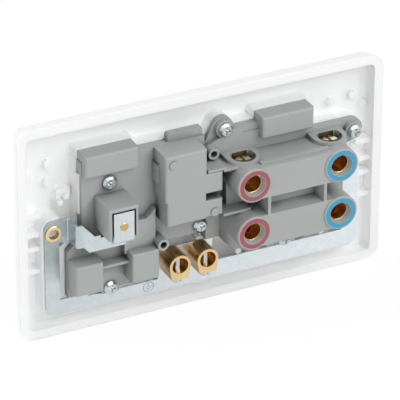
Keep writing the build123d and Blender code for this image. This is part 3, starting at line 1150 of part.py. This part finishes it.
# Shutter: a bar over the two pin holes, two arms and a wedge that the earth pin lifts
shutter_y = (recess_y + SHUTTER_GAP, recess_y + SHUTTER_GAP + SHUTTER_THICK)
bar_low = pin_z - PIN_HOLE_SHORT / 2 - SHUTTER_LAP
bar_top = bar_low + SHUTTER_BAR
with BuildPart() as shutter:
    block(about(SOCKET_X, SHUTTER_HALF), (bar_low, bar_top), shutter_y)
    for side in (-1, 1):
        arm_x = sorted((SOCKET_X + side * ARM_INNER, SOCKET_X + side * ARM_OUTER))
        block(arm_x, (bar_top, WEDGE_TOP_Z), shutter_y)
    with BuildSketch(Plane.YZ.offset(SOCKET_X - ARM_OUTER)) as wedge:
        Polygon(
            (shutter_y[0], WEDGE_TOP_Z),
            (shutter_y[0] + WEDGE_RUN, WEDGE_TOP_Z - WEDGE_RUN),
            (shutter_y[0] + WEDGE_RUN, WEDGE_TOP_Z),
            align=None,
        )
    extrude(amount=2 * ARM_OUTER)
save(shutter, "shutter")

spring_y = sum(shutter_y) / 2
spring_low = bar_top + SPRING_WIRE + SPRING_GAP
seats = [Plane((SOCKET_X + side * SPRING_OFFSET, spring_y, spring_low)) for side in (-1, 1)]
save(make_coils(seats, SPRING_PITCH, SPRING_TOP_Z - bar_top), "shutter_springs")

# Indicator lamps, their resistors and the lenses in the plate
for name, x in (("socket", SOCKET_X), ("cooker", cooker_pocket_x)):
    with BuildPart() as lens:
        window = (about(x, LENS_HALF_X), about(LENS_Z, LENS_HALF_Z))
        block(*window, (face_y - LENS_PROUD, recess_y))
        fillet(lens.faces().sort_by(Axis.Y)[0].edges(), radius=LENS_PROUD)
        flange = (about(x, LENS_HALF_X + LENS_LIP), about(LENS_Z, LENS_HALF_Z + LENS_LIP_Z))
        block(*flange, (recess_y, recess_y + LENS_FLANGE))
    save(lens, f"{name}_lens")
    roof = pocket_y - POCKET_WALL - LAMP_GAP
    with BuildPart() as lamp:
        with BuildSketch(Plane.YZ.offset(x + LAMP_SHIFT - LAMP_LENGTH / 2)):
            with Locations((roof - lamp_r, pocket_z)):
                Circle(lamp_r)
        extrude(amount=LAMP_LENGTH)
        chamfer(lamp.edges().group_by(Axis.X)[0], length=LAMP_EDGE)
    save(lamp, f"{name}_lamp")
    with BuildPart() as resistor:
        with BuildSketch(Plane.YZ.offset(x + RESISTOR_SHIFT - RESISTOR_LENGTH / 2)):
            with Locations((roof - RESISTOR_R, pocket_z)):
                Circle(RESISTOR_R)
        extrude(amount=RESISTOR_LENGTH)
    save(resistor, f"{name}_resistor")
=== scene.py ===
import json
from math import cos, pi, radians, sin
from types import SimpleNamespace

import bpy
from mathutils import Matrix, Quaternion, Vector


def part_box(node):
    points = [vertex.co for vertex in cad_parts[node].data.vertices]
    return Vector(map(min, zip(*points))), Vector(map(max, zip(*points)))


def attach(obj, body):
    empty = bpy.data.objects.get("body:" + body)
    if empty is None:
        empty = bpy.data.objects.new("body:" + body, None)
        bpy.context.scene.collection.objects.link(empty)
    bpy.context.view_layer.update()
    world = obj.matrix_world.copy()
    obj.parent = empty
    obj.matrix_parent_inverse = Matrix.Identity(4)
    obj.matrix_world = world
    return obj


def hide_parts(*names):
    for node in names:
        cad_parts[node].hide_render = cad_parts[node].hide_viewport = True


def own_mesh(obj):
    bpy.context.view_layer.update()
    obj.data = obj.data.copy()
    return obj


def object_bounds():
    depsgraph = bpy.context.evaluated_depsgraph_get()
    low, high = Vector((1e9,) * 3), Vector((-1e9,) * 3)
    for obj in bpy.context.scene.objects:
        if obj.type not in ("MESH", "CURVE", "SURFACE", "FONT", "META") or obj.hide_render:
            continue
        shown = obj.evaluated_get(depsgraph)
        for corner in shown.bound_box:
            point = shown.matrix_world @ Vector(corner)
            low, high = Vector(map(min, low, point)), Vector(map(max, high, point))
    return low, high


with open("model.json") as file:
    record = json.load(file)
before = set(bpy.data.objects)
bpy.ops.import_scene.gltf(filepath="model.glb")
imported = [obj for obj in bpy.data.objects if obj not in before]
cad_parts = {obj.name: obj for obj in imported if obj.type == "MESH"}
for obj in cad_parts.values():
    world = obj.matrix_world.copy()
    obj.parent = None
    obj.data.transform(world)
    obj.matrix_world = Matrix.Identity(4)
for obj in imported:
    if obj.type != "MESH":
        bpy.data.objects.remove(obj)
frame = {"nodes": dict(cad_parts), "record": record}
cad_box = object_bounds()
nodes = frame["nodes"]

# Camera, which looks at the back of the unit from above: metres and degrees, sensor in millimetres
CAMERA_AIM = Vector((0.00135, -0.00018, -0.00077))
CAMERA_AZIMUTH = 154.01
CAMERA_ELEVATION = 29.25
CAMERA_ROLL = 0.18
CAMERA_DISTANCE = 1.3035
CLIP_START = 0.01
CLIP_END = 50.0
SENSOR_WIDTH = 36.0
IMAGE_PIXELS = 400.0
FOCAL_PIXELS = 3568.6

# Lights: how brightly each one lights a white surface that faces it, and where each lamp stands
WORLD_LEVEL = 0.34
KEY_LEVEL = 0.53
KEY_TOWARDS = Vector((-0.45, 0.62, 0.68))
FILL_LEVEL = 0.27
FILL_TOWARDS = Vector((0.15, 0.86, 0.46))
BACK_LEVEL = 0.64
BACK_TOWARDS = Vector((0.64, -0.45, 0.62))
LIGHT_DISTANCE = 1.4
LIGHT_SIZE = 1.1

# Floor and background
FLOOR_SIZE = 8.0
FLOOR_GAP = 0.00005
FLOOR_PALE = (0.9, 0.9, 0.9, 1.0)
FLOOR_GLOW = 0.9
GLOW_STRENGTH = 1.02
PURE_WHITE = (1.0, 1.0, 1.0, 1.0)

# Colours
WHITE = (0.845, 0.848, 0.85, 1.0)
GREY = (0.360, 0.376, 0.370, 1.0)
NYLON = (0.72, 0.70, 0.64, 1.0)
LENS_RED = (0.62, 0.02, 0.02, 1.0)
RESISTOR_TAN = (0.50, 0.36, 0.22, 1.0)
GLASS_TINT = (0.93, 0.88, 0.82, 1.0)
RED_PRINT = (0.325, 0.075, 0.09, 1.0)
BLUE_PRINT = (0.035, 0.305, 0.485, 1.0)
# Painted shade inside the clamp screw wells
WELL_PAINTED_SHADE = (0.036, 0.025, 0.013, 1.0)
ZINC = (0.76, 0.815, 0.845, 1.0)
# Dull zinc of the spangle and the earth symbol, also painted shade along the strap and on its leg
ZINC_DULL_AND_SHADE = (0.40, 0.455, 0.475, 1.0)
SCREW_ZINC = (0.53, 0.575, 0.585, 1.0)
STEEL = (0.52, 0.54, 0.55, 1.0)
COPPER = (0.72, 0.44, 0.28, 1.0)
BRASS = (0.79, 0.57, 0.28, 1.0)
# Dark brown of drawn brass sides, and painted shade on the eyelet's inner wall
BRASS_SIDE_DARK = (0.33, 0.17, 0.06, 1.0)
PALE_BRASS = (0.80, 0.62, 0.34, 1.0)
SCREW_BRASS = (0.94, 0.79, 0.50, 1.0)
RIVET_BRASS = (0.58, 0.40, 0.18, 1.0)
# Painted half shade and painted deep shade in the terminal bores
BORE_HALF_SHADE = (0.80, 0.53, 0.24, 1.0)
BORE_DEEP_SHADE = (0.35, 0.19, 0.07, 1.0)

# Plastic and glass: noise in features per metre, lengths in metres, roughness as lowest and highest
PLASTIC_IOR = 1.5
FLOW_SCALE = 45.0
FLOW_DETAIL = 3.0
MOTTLE = 0.05
GLOSS_SCALE = 400.0
TEXTURE_DETAIL = 3.0
TEXTURE_STRENGTH = 0.6
TEXTURE_DEPTH = 0.00002
EDGE_ROUND = 0.00025
EDGE_SAMPLES = 4
GREY_ROUGH = (0.42, 0.56)
GREY_TEXTURE = 2600.0
WHITE_ROUGH = (0.28, 0.40)
WHITE_TEXTURE = 1800.0
WHITE_MOTTLE = 0.015
NYLON_ROUGH = (0.45, 0.6)
NYLON_TEXTURE = 1500.0
LENS_ROUGH = (0.12, 0.2)
LENS_TEXTURE = 900.0
LACQUER_ROUGH = (0.3, 0.45)
LACQUER_TEXTURE = 1200.0
SCATTER_SHARE = 0.3
SCATTER_RADIUS = (1.0, 1.0, 1.0)
SCATTER_SCALE = 0.004
GLASS_IOR = 1.5
GLASS_CLEAR = 0.9
GLASS_SCALE = 700.0
GLASS_ROUGH = (0.04, 0.12)

# Painted light and shade in hollows: how open a place is where it starts and where it is full, and the
# change
HOLLOW_REACH = 0.008
HOLLOW_SAMPLES = 12
# White: painted light, a lighter colour deep in hollows
WHITE_PAINTED_HOLLOW_LIGHT = {"open_at": 0.68, "closed_at": 0.38, "factor": 1.16}
# Grey mouldings and the cooker housing: painted shade, a darker colour deep in hollows
GREY_PAINTED_HOLLOW_SHADE = {"open_at": 0.70, "closed_at": 0.14, "factor": 0.12}
COOKER_PAINTED_HOLLOW_SHADE = {"open_at": 0.46, "closed_at": 0.12, "factor": 0.15}

# Rings printed on the cooker housing, and the wells of its clamp screws, which get painted shade
RING_INNER = 0.00445
RING_OUTER = 0.0061
RING_DEPTH = 0.0002
SPECKLE_SCALE = 1400.0
SPECKLE_DETAIL = 4.0
SPECKLE_LEVEL = 0.36
SPECKLE_INK = 0.82
WELL_REACH = 0.0046
WELL_START = 0.0042
WELL_FLAT = 0.0047

# Metal: working marks are stretched by features per metre along X, Y and Z
MARK_SCALE = 1.0
MARK_DETAIL = 4.0
MARK_STRENGTH = 0.5
MARK_DEPTH = 0.000012
PATCH_SCALE = 180.0
PATCH_TINT = 0.12
SCREW_TINT = 0.2
SCREW_ROUGH = (0.16, 0.3)
ZINC_SCREW_MARKS = (900.0, 300.0, 900.0)
BRASS_SCREW_MARKS = (1200.0, 1200.0, 200.0)
METAL_EDGE = EDGE_ROUND / 2
EVEN_MARKS = (900.0, 900.0, 900.0)
SPRING_ROUGH = (0.2, 0.3)
RIVET_ROUGH = (0.2, 0.34)
COPPER_ROUGH = (0.24, 0.4)
COPPER_MARKS = (900.0, 900.0, 200.0)

# Drawn brass: dark brown streaks on its sides, which on the eyelet are painted shade on its inner wall
DRAWN_ROUGH = (0.22, 0.38)
BLOCK_STREAK = (1500.0, 60.0, 1500.0)
EYELET_STREAK = (300.0, 60.0, 300.0)
SIDE_STREAK_SCALE = 0.6
SIDE_STREAK_DETAIL = 3.0
SIDE_STREAK_LOW = -0.35
SIDE_STREAK_HIGH = 1.75
END_FACING = 0.7

# Bores of the terminals, painted with shade that deepens into them: depths from the mouth, in metres
BORE_ROUGH = (0.2, 0.36)
BORE_STREAK = (120.0, 2200.0, 120.0)
BORE_MARKS = 0.00004
MOUTH_ROUND = 0.0008
BORE_SHADE_START = 0.0016
BORE_FADE = 0.0045
BORE_END = 0.0105

# Zinc strap: painted shade along it and up the leg near its end, spangle, and the engraved earth symbol
SHEET_ROUGH = (0.26, 0.42)
SHEET_MARKS = (320.0, 320.0, 320.0)
SHEET_TINT = 0.07
SHEET_SHADE_DRIFT = 0.42
LEG_START = 0.014
LEG_FULL = 0.006
LEG_LOW = -0.021
LEG_HIGH = -0.011
LEG_PAINTED_SHADE = 0.55
SPANGLE_SCALE = 700.0
SPANGLE_LOW = -0.06
SPANGLE_HIGH = 0.08
SYMBOL_X = 0.0228
SYMBOL_Z = -0.0316
SYMBOL_REACH = 0.0024
SYMBOL_LEVEL = 0.0009
SYMBOL_SHADE = 0.95


def direction(azimuth, elevation):
    """Unit vector from the aim towards a camera at these angles."""
    flat = cos(radians(elevation))
    return Vector((sin(radians(azimuth)) * flat, -cos(radians(azimuth)) * flat, sin(radians(elevation))))


def make_camera():
    """Camera at the photograph's angle and framing."""
    data = bpy.data.cameras.new("camera")
    data.sensor_width = SENSOR_WIDTH
    data.lens = FOCAL_PIXELS / IMAGE_PIXELS * SENSOR_WIDTH
    data.clip_start = CLIP_START
    data.clip_end = CLIP_END
    camera = bpy.data.objects.new("camera", data)
    bpy.context.scene.collection.objects.link(camera)
    away = direction(CAMERA_AZIMUTH, CAMERA_ELEVATION)
    camera.location = CAMERA_AIM + CAMERA_DISTANCE * away
    camera.rotation_mode = "QUATERNION"
    roll = Quaternion((0, 0, 1), radians(CAMERA_ROLL))
    camera.rotation_quaternion = (-away).to_track_quat("-Z", "Y") @ roll
    bpy.context.scene.camera = camera


def make_light(name, towards, level):
    """Soft square lamp; a level of 1 lights a surface that faces it as bright as its colour."""
    data = bpy.data.lights.new(name, "AREA")
    data.shape = "SQUARE"
    data.size = LIGHT_SIZE
    data.energy = level * (pi * LIGHT_DISTANCE) ** 2
    lamp = bpy.data.objects.new(name, data)
    bpy.context.scene.collection.objects.link(lamp)
    lamp.location = LIGHT_DISTANCE * towards.normalized()
    lamp.rotation_mode = "QUATERNION"
    lamp.rotation_quaternion = (-towards).to_track_quat("-Z", "Y")


def add_node(tree, kind, inputs=None, **settings):
    """New shader node with its settings, values and links."""
    made = tree.nodes.new(kind)
    for key, value in settings.items():
        setattr(made, key, value)
    for key, value in (inputs or {}).items():
        if isinstance(value, bpy.types.NodeSocket):
            tree.links.new(value, made.inputs[key])
        else:
            made.inputs[key].default_value = value
    return made


def calculate(tree, operation, first, second=0.0):
    """Output of one arithmetic node."""
    return add_node(tree, "ShaderNodeMath", {0: first, 1: second}, operation=operation).outputs[0]


def all_of(tree, first, *others):
    """1 where every test is 1."""
    for other in others:
        first = calculate(tree, "MULTIPLY", first, other)
    return first


def distance(tree, first, second):
    """Length of a flat offset with these two parts."""
    squares = [calculate(tree, "MULTIPLY", part, part) for part in (first, second)]
    return calculate(tree, "SQRT", calculate(tree, "ADD", *squares))


def past(tree, value, middle, reach):
    """How far a value lies beyond a reach to either side of a middle."""
    offset = calculate(tree, "ABSOLUTE", calculate(tree, "SUBTRACT", value, middle))
    return calculate(tree, "SUBTRACT", offset, reach)


def ramp(tree, value, start, end, low=0.0, high=1.0):
    """Output that goes from low to high as a value goes from start to end."""
    inputs = {"Value": value, "From Min": start, "From Max": end, "To Min": low, "To Max": high}
    return add_node(tree, "ShaderNodeMapRange", inputs).outputs[0]


def span(tree, value, low, high):
    """Value from 0 to 1 stretched to a range."""
    return ramp(tree, value, 0.0, 1.0, low, high)


def split(tree, vector):
    """X, Y and Z of a vector."""
    return add_node(tree, "ShaderNodeSeparateXYZ", {0: vector}).outputs


def mix_colour(tree, factor, first, second):
    """Output of a colour mix."""
    made = add_node(tree, "ShaderNodeMix", {0: factor, 6: first, 7: second}, data_type="RGBA")
    return made.outputs[2]


def noise(tree, position, scale, detail=2.0):
    """Soft noise at a number of features per metre."""
    inputs = {"Vector": position, "Scale": scale, "Detail": detail}
    return add_node(tree, "ShaderNodeTexNoise", inputs).outputs[0]


def visible_ray(tree):
    """1 for rays that show the background: seen directly, in gloss or through glass."""
    path = add_node(tree, "ShaderNodeLightPath").outputs
    seen = calculate(tree, "MAXIMUM", path["Is Camera Ray"], path["Is Glossy Ray"])
    return calculate(tree, "MAXIMUM", seen, path["Is Transmission Ray"])


def shade(colour, factor):
    """Colour made lighter or darker."""
    return tuple(min(1.0, part * factor) for part in colour[:3]) + (1.0,)


def set_sockets(shader, **sockets):
    """Set the values that hold all over a surface on its shader."""
    for key, value in sockets.items():
        shader.inputs[key.replace("_", " ")].default_value = value


def new_look(name, **sockets):
    """Material with its node tree, its shader and the position on the piece in metres."""
    material = bpy.data.materials.new(name)
    material.use_nodes = True
    tree = material.node_tree
    shader = tree.nodes["Principled BSDF"]
    set_sockets(shader, **sockets)
    position = add_node(tree, "ShaderNodeTexCoord").outputs["Object"]
    return SimpleNamespace(material=material, tree=tree, shader=shader, position=position, tone=None)


def feed(look, socket, value):
    """Link a node's output to one of the shader's sockets."""
    look.tree.links.new(value, look.shader.inputs[socket])


def paint(look, tone):
    """Give a look its colour, which a later coat can build on."""
    look.tone = tone
    feed(look, "Base Color", tone)


def stretched(look, streak):
    """Position on the piece, in features along each axis."""
    return add_node(look.tree, "ShaderNodeMapping", {"Vector": look.position, "Scale": streak}).outputs[0]


def relief(look, height, strength, depth, edge):
    """Fine bump over softly rounded edges."""
    rounded = add_node(look.tree, "ShaderNodeBevel", {"Radius": edge}, samples=EDGE_SAMPLES).outputs[0]
    inputs = {"Strength": strength, "Distance": depth, "Height": height, "Normal": rounded}
    feed(look, "Normal", add_node(look.tree, "ShaderNodeBump", inputs).outputs[0])


def paint_hollow_light_and_shade(look, colour, open_at, closed_at, factor):
    """Paint light (a factor above 1) or shade (a factor below 1) into the colour deep in a hole or a narrow
    gap.
    """
    inputs = {"Distance": HOLLOW_REACH}
    occlusion = add_node(look.tree, "ShaderNodeAmbientOcclusion", inputs, samples=HOLLOW_SAMPLES)
    depth = ramp(look.tree, occlusion.outputs["AO"], open_at, closed_at)
    paint(look, mix_colour(look.tree, depth, look.tone, shade(colour, factor)))


def moulding(name, colour, rough, texture, mottle=MOTTLE, hollows=None):
    """Moulded plastic: faint flow marks, fine surface texture, uneven gloss and, where hollows are given,
    their painted light or painted shade.
    """
    look = new_look(name, IOR=PLASTIC_IOR)
    flow = noise(look.tree, look.position, FLOW_SCALE, FLOW_DETAIL)
    paint(look, mix_colour(look.tree, flow, shade(colour, 1 - mottle), shade(colour, 1 + mottle)))
    if hollows:
        paint_hollow_light_and_shade(look, colour, **hollows)
    feed(look, "Roughness", span(look.tree, noise(look.tree, look.position, GLOSS_SCALE), *rough))
    height = noise(look.tree, look.position, texture, TEXTURE_DETAIL)
    relief(look, height, TEXTURE_STRENGTH, TEXTURE_DEPTH, EDGE_ROUND)
    return look


def white_plastic():
    """White plastic of the plate and rockers, in which a little light scatters, with painted light in its
    hollows.
    """
    look = moulding("white_moulding", WHITE, WHITE_ROUGH, WHITE_TEXTURE, WHITE_MOTTLE, WHITE_PAINTED_HOLLOW_LIGHT)
    set_sockets(
        look.shader,
        Subsurface_Weight=SCATTER_SHARE,
        Subsurface_Radius=SCATTER_RADIUS,
        Subsurface_Scale=SCATTER_SCALE,
    )
    return look


def print_rings(look, radius, rear, is_line):
    """Print coloured rings, slightly speckled, on the rear faces round the terminals."""
    inside = calculate(look.tree, "LESS_THAN", radius, RING_OUTER)
    outside = calculate(look.tree, "GREATER_THAN", radius, RING_INNER)
    specks = noise(look.tree, look.position, SPECKLE_SCALE, SPECKLE_DETAIL)
    speckle = span(look.tree, calculate(look.tree, "GREATER_THAN", specks, SPECKLE_LEVEL), SPECKLE_INK, 1.0)
    ring = all_of(look.tree, inside, outside, rear, speckle)
    ink = mix_colour(look.tree, is_line, BLUE_PRINT, RED_PRINT)
    paint(look, mix_colour(look.tree, ring, look.tone, ink))


def printed_plastic():
    """Grey plastic of the cooker housing, with a ring round each terminal, painted shade in its hollows and
    painted shade in its screw wells.
    """
    look = moulding("grey_moulding_printed", GREY, GREY_ROUGH, GREY_TEXTURE, hollows=COOKER_PAINTED_HOLLOW_SHADE)
    tree = look.tree
    line_low, line_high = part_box("load_line_screw")
    neutral_low, neutral_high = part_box("load_neutral_screw")
    upper_low, upper_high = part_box("load_line_terminal")
    lower_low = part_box("supply_line_screw")[0]
    face_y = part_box("cooker_housing")[1].y
    line_x = (line_low.x + line_high.x) / 2
    neutral_x = (neutral_low.x + neutral_high.x) / 2
    middle_x = (line_x + neutral_x) / 2
    upper_z = (upper_low.z + upper_high.z) / 2
    middle_z = (line_high.z + lower_low.z) / 2
    x, y, z = split(tree, look.position)
    across = past(tree, x, middle_x, (line_x - neutral_x) / 2)
    along = past(tree, z, middle_z, upper_z - middle_z)
    rear = calculate(tree, "GREATER_THAN", y, face_y - RING_DEPTH)
    is_line = calculate(tree, "GREATER_THAN", x, middle_x)
    print_rings(look, distance(tree, across, along), rear, is_line)
    # Painted shade: a near-black brown inside each clamp screw well
    behind = calculate(tree, "SUBTRACT", y, (line_low.y + line_high.y) / 2)
    close = calculate(tree, "LESS_THAN", distance(tree, across, behind), WELL_REACH)
    outward = calculate(tree, "GREATER_THAN", along, WELL_START)
    past_flat = calculate(tree, "GREATER_THAN", y, WELL_FLAT)
    well_shade = all_of(tree, close, outward, past_flat)
    paint(look, mix_colour(tree, well_shade, look.tone, WELL_PAINTED_SHADE))
    return look


def lamp_glass():
    """Clear, slightly uneven glass of the indicator lamps."""
    look = new_look("lamp_glass", IOR=GLASS_IOR, Transmission_Weight=GLASS_CLEAR, Base_Color=GLASS_TINT)
    feed(look, "Roughness", span(look.tree, noise(look.tree, look.position, GLASS_SCALE), *GLASS_ROUGH))
    return look


def metal(name, colour, rough, streak, depth=MARK_DEPTH, tint=PATCH_TINT, edge=METAL_EDGE):
    """Metal with fine working marks, patches of tone and uneven gloss."""
    look = new_look(name, Metallic=1.0)
    marks = noise(look.tree, stretched(look, streak), MARK_SCALE, MARK_DETAIL)
    patches = noise(look.tree, look.position, PATCH_SCALE)
    paint(look, mix_colour(look.tree, patches, shade(colour, 1 - tint), shade(colour, 1 + tint)))
    feed(look, "Roughness", span(look.tree, marks, *rough))
    relief(look, marks, MARK_STRENGTH, depth, edge)
    return look


def drawn_brass(name, colour, streak):
    """Brass bar stock: dark brown streaks along its drawn sides, painted shade on the eyelet's inner wall,
    and bright cut ends.
    """
    look = metal(name, colour, DRAWN_ROUGH, streak)
    normal = add_node(look.tree, "ShaderNodeNewGeometry").outputs["Normal"]
    end = calculate(look.tree, "ABSOLUTE", split(look.tree, normal)[1])
    side = calculate(look.tree, "LESS_THAN", end, END_FACING)
    # Darker brown on faces that don't face along Y; on the eyelet this is painted shade on its inner wall
    streaks = noise(look.tree, stretched(look, streak), SIDE_STREAK_SCALE, SIDE_STREAK_DETAIL)
    side_darkening = calculate(look.tree, "MULTIPLY", side, span(look.tree, streaks, SIDE_STREAK_LOW, SIDE_STREAK_HIGH))
    paint(look, mix_colour(look.tree, side_darkening, look.tone, BRASS_SIDE_DARK))
    return look


def bored_brass():
    """Turned brass: bright at the mouth of the bore, with painted half shade within and painted deep shade
    at its end.
    """
    look = metal("barrel_brass", BRASS, BORE_ROUGH, BORE_STREAK, depth=BORE_MARKS, edge=MOUTH_ROUND)
    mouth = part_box("load_line_terminal")[1].y
    inward = calculate(look.tree, "SUBTRACT", mouth, split(look.tree, look.position)[1])
    # Painted shade: darker the deeper into the bore
    paint(look, mix_colour(look.tree, ramp(look.tree, inward, BORE_SHADE_START, BORE_FADE), look.tone, BORE_HALF_SHADE))
    paint(look, mix_colour(look.tree, ramp(look.tree, inward, BORE_FADE, BORE_END), look.tone, BORE_DEEP_SHADE))
    return look


def plated_sheet():
    """Zinc plate with a fine spangle, and painted shade that keeps it brighter to one end and darkens the
    leg by the earth tower.
    """
    look = metal("zinc_plate", ZINC, SHEET_ROUGH, SHEET_MARKS, tint=SHEET_TINT)
    tree = look.tree
    strap_low, strap_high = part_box("earth_strap")
    x, y, z = split(tree, look.position)
    # Painted shade along the strap and up its leg by the earth tower
    drift = ramp(tree, x, strap_low.x, strap_high.x, 0.0, SHEET_SHADE_DRIFT)
    leg = ramp(tree, x, strap_high.x - LEG_START, strap_high.x - LEG_FULL)
    rise = ramp(tree, z, LEG_LOW, LEG_HIGH, 0.0, LEG_PAINTED_SHADE)
    cells = add_node(tree, "ShaderNodeTexVoronoi", {"Vector": look.position, "Scale": SPANGLE_SCALE})
    spangle = span(tree, split(tree, cells.outputs["Color"])[0], SPANGLE_LOW, SPANGLE_HIGH)
    spangle_and_painted_shade = calculate(tree, "ADD", drift, spangle)
    spangle_and_painted_shade = calculate(tree, "ADD", spangle_and_painted_shade, calculate(tree, "MULTIPLY", leg, rise))
    paint(look, mix_colour(tree, spangle_and_painted_shade, look.tone, ZINC_DULL_AND_SHADE))
    across = calculate(tree, "SUBTRACT", x, SYMBOL_X)
    upward = calculate(tree, "SUBTRACT", z, SYMBOL_Z)
    close = calculate(tree, "LESS_THAN", distance(tree, across, upward), SYMBOL_REACH)
    cut = calculate(tree, "LESS_THAN", y, strap_low.y + SYMBOL_LEVEL)
    paint(look, mix_colour(tree, all_of(tree, close, cut), look.tone, shade(ZINC_DULL_AND_SHADE, SYMBOL_SHADE)))
    return look


def make_world():
    """White surround that lights the unit at a plain level."""
    world = bpy.data.worlds.new("surround")
    bpy.context.scene.world = world
    world.use_nodes = True
    tree = world.node_tree
    background = tree.nodes["Background"]
    background.inputs["Color"].default_value = PURE_WHITE
    level = span(tree, visible_ray(tree), WORLD_LEVEL, 1.0)
    tree.links.new(level, background.inputs["Strength"])


def make_floor():
    """Pale floor under the plate's lower edge; it glows white and keeps a soft shadow."""
    low = cad_box[0].z - FLOOR_GAP
    half = FLOOR_SIZE / 2
    mesh = bpy.data.meshes.new("floor")
    corners = [(-half, -half, low), (half, -half, low), (half, half, low), (-half, half, low)]
    mesh.from_pydata(corners, [], [(0, 1, 2, 3)])
    floor = bpy.data.objects.new("floor", mesh)
    bpy.context.scene.collection.objects.link(floor)
    material = bpy.data.materials.new("pale_floor")
    material.use_nodes = True
    tree = material.node_tree
    tree.nodes.remove(tree.nodes["Principled BSDF"])
    matt = add_node(tree, "ShaderNodeBsdfDiffuse", {"Color": FLOOR_PALE}).outputs[0]
    glow = add_node(tree, "ShaderNodeEmission", {"Color": PURE_WHITE, "Strength": GLOW_STRENGTH}).outputs[0]
    share = span(tree, visible_ray(tree), 0.0, FLOOR_GLOW)
    both = add_node(tree, "ShaderNodeMixShader", {0: share, 1: matt, 2: glow}).outputs[0]
    tree.links.new(both, tree.nodes["Material Output"].inputs["Surface"])
    mesh.materials.append(material)


def finish_node(name, look):
    """Give a CAD node its material."""
    slots = nodes[name].data.materials
    slots.clear()
    slots.append(look.material)


def make_shutter_coils(look):
    """Return springs of the shutter, as a copy with its own mesh that is fixed to the unit in place of the
    CAD node.
    """
    coils = bpy.data.objects.new("shutter_coils", nodes["shutter_springs"].data.copy())
    bpy.context.scene.collection.objects.link(coils)
    coils.data.materials.clear()
    coils.data.materials.append(look.material)
    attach(coils, "unit")
    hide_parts("shutter_springs")
    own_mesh(coils)


def make_looks():
    """Look of each material slot in the record."""
    white = white_plastic()
    # Grey moulding with painted shade in its hollows
    grey = moulding("grey_moulding", GREY, GREY_ROUGH, GREY_TEXTURE, hollows=GREY_PAINTED_HOLLOW_SHADE)
    nylon = moulding("nylon", NYLON, NYLON_ROUGH, NYLON_TEXTURE)
    lens = moulding("red_lens", LENS_RED, LENS_ROUGH, LENS_TEXTURE)
    lacquer = moulding("resistor_lacquer", RESISTOR_TAN, LACQUER_ROUGH, LACQUER_TEXTURE)
    screw_zinc = metal("zinc_screw", SCREW_ZINC, SCREW_ROUGH, ZINC_SCREW_MARKS, tint=SCREW_TINT)
    spring_wire = metal("spring_wire", STEEL, SPRING_ROUGH, EVEN_MARKS)
    screw_brass = metal("screw_brass", SCREW_BRASS, SCREW_ROUGH, BRASS_SCREW_MARKS, tint=SCREW_TINT)
    copper = metal("contact_copper", COPPER, COPPER_ROUGH, COPPER_MARKS)
    return {
        "white_moulding": white,
        "white_rocker": white,
        "grey_moulding": grey,
        "nylon": nylon,
        "zinc_plate": plated_sheet(),
        "zinc_screw": screw_zinc,
        "spring_steel": spring_wire,
        "brass": drawn_brass("brass", BRASS, BLOCK_STREAK),
        "screw_brass": screw_brass,
        "eyelet_brass": drawn_brass("eyelet_brass", PALE_BRASS, EYELET_STREAK),
        "contact_copper": copper,
        "red_lens": lens,
        "lamp_glass": lamp_glass(),
        "resistor_body": lacquer,
    }


bpy.context.scene.view_settings.view_transform = "Standard"
make_camera()
make_world()
make_light("key", KEY_TOWARDS, KEY_LEVEL)
make_light("fill", FILL_TOWARDS, FILL_LEVEL)
make_light("back", BACK_TOWARDS, BACK_LEVEL)
make_floor()

# Looks by material slot, then the pieces with a finish of their own
looks = make_looks()
for part in frame["record"]["subparts"]:
    finish_node(part["node"], looks[part["material_slot"]])
finish_node("cooker_housing", printed_plastic())
barrel_brass = bored_brass()
for circuit in ("supply_line", "supply_neutral", "load_line", "load_neutral"):
    finish_node(circuit + "_terminal", barrel_brass)
finish_node("earth_rivet", metal("rivet_brass", RIVET_BRASS, RIVET_ROUGH, EVEN_MARKS))
make_shutter_coils(looks["spring_steel"])
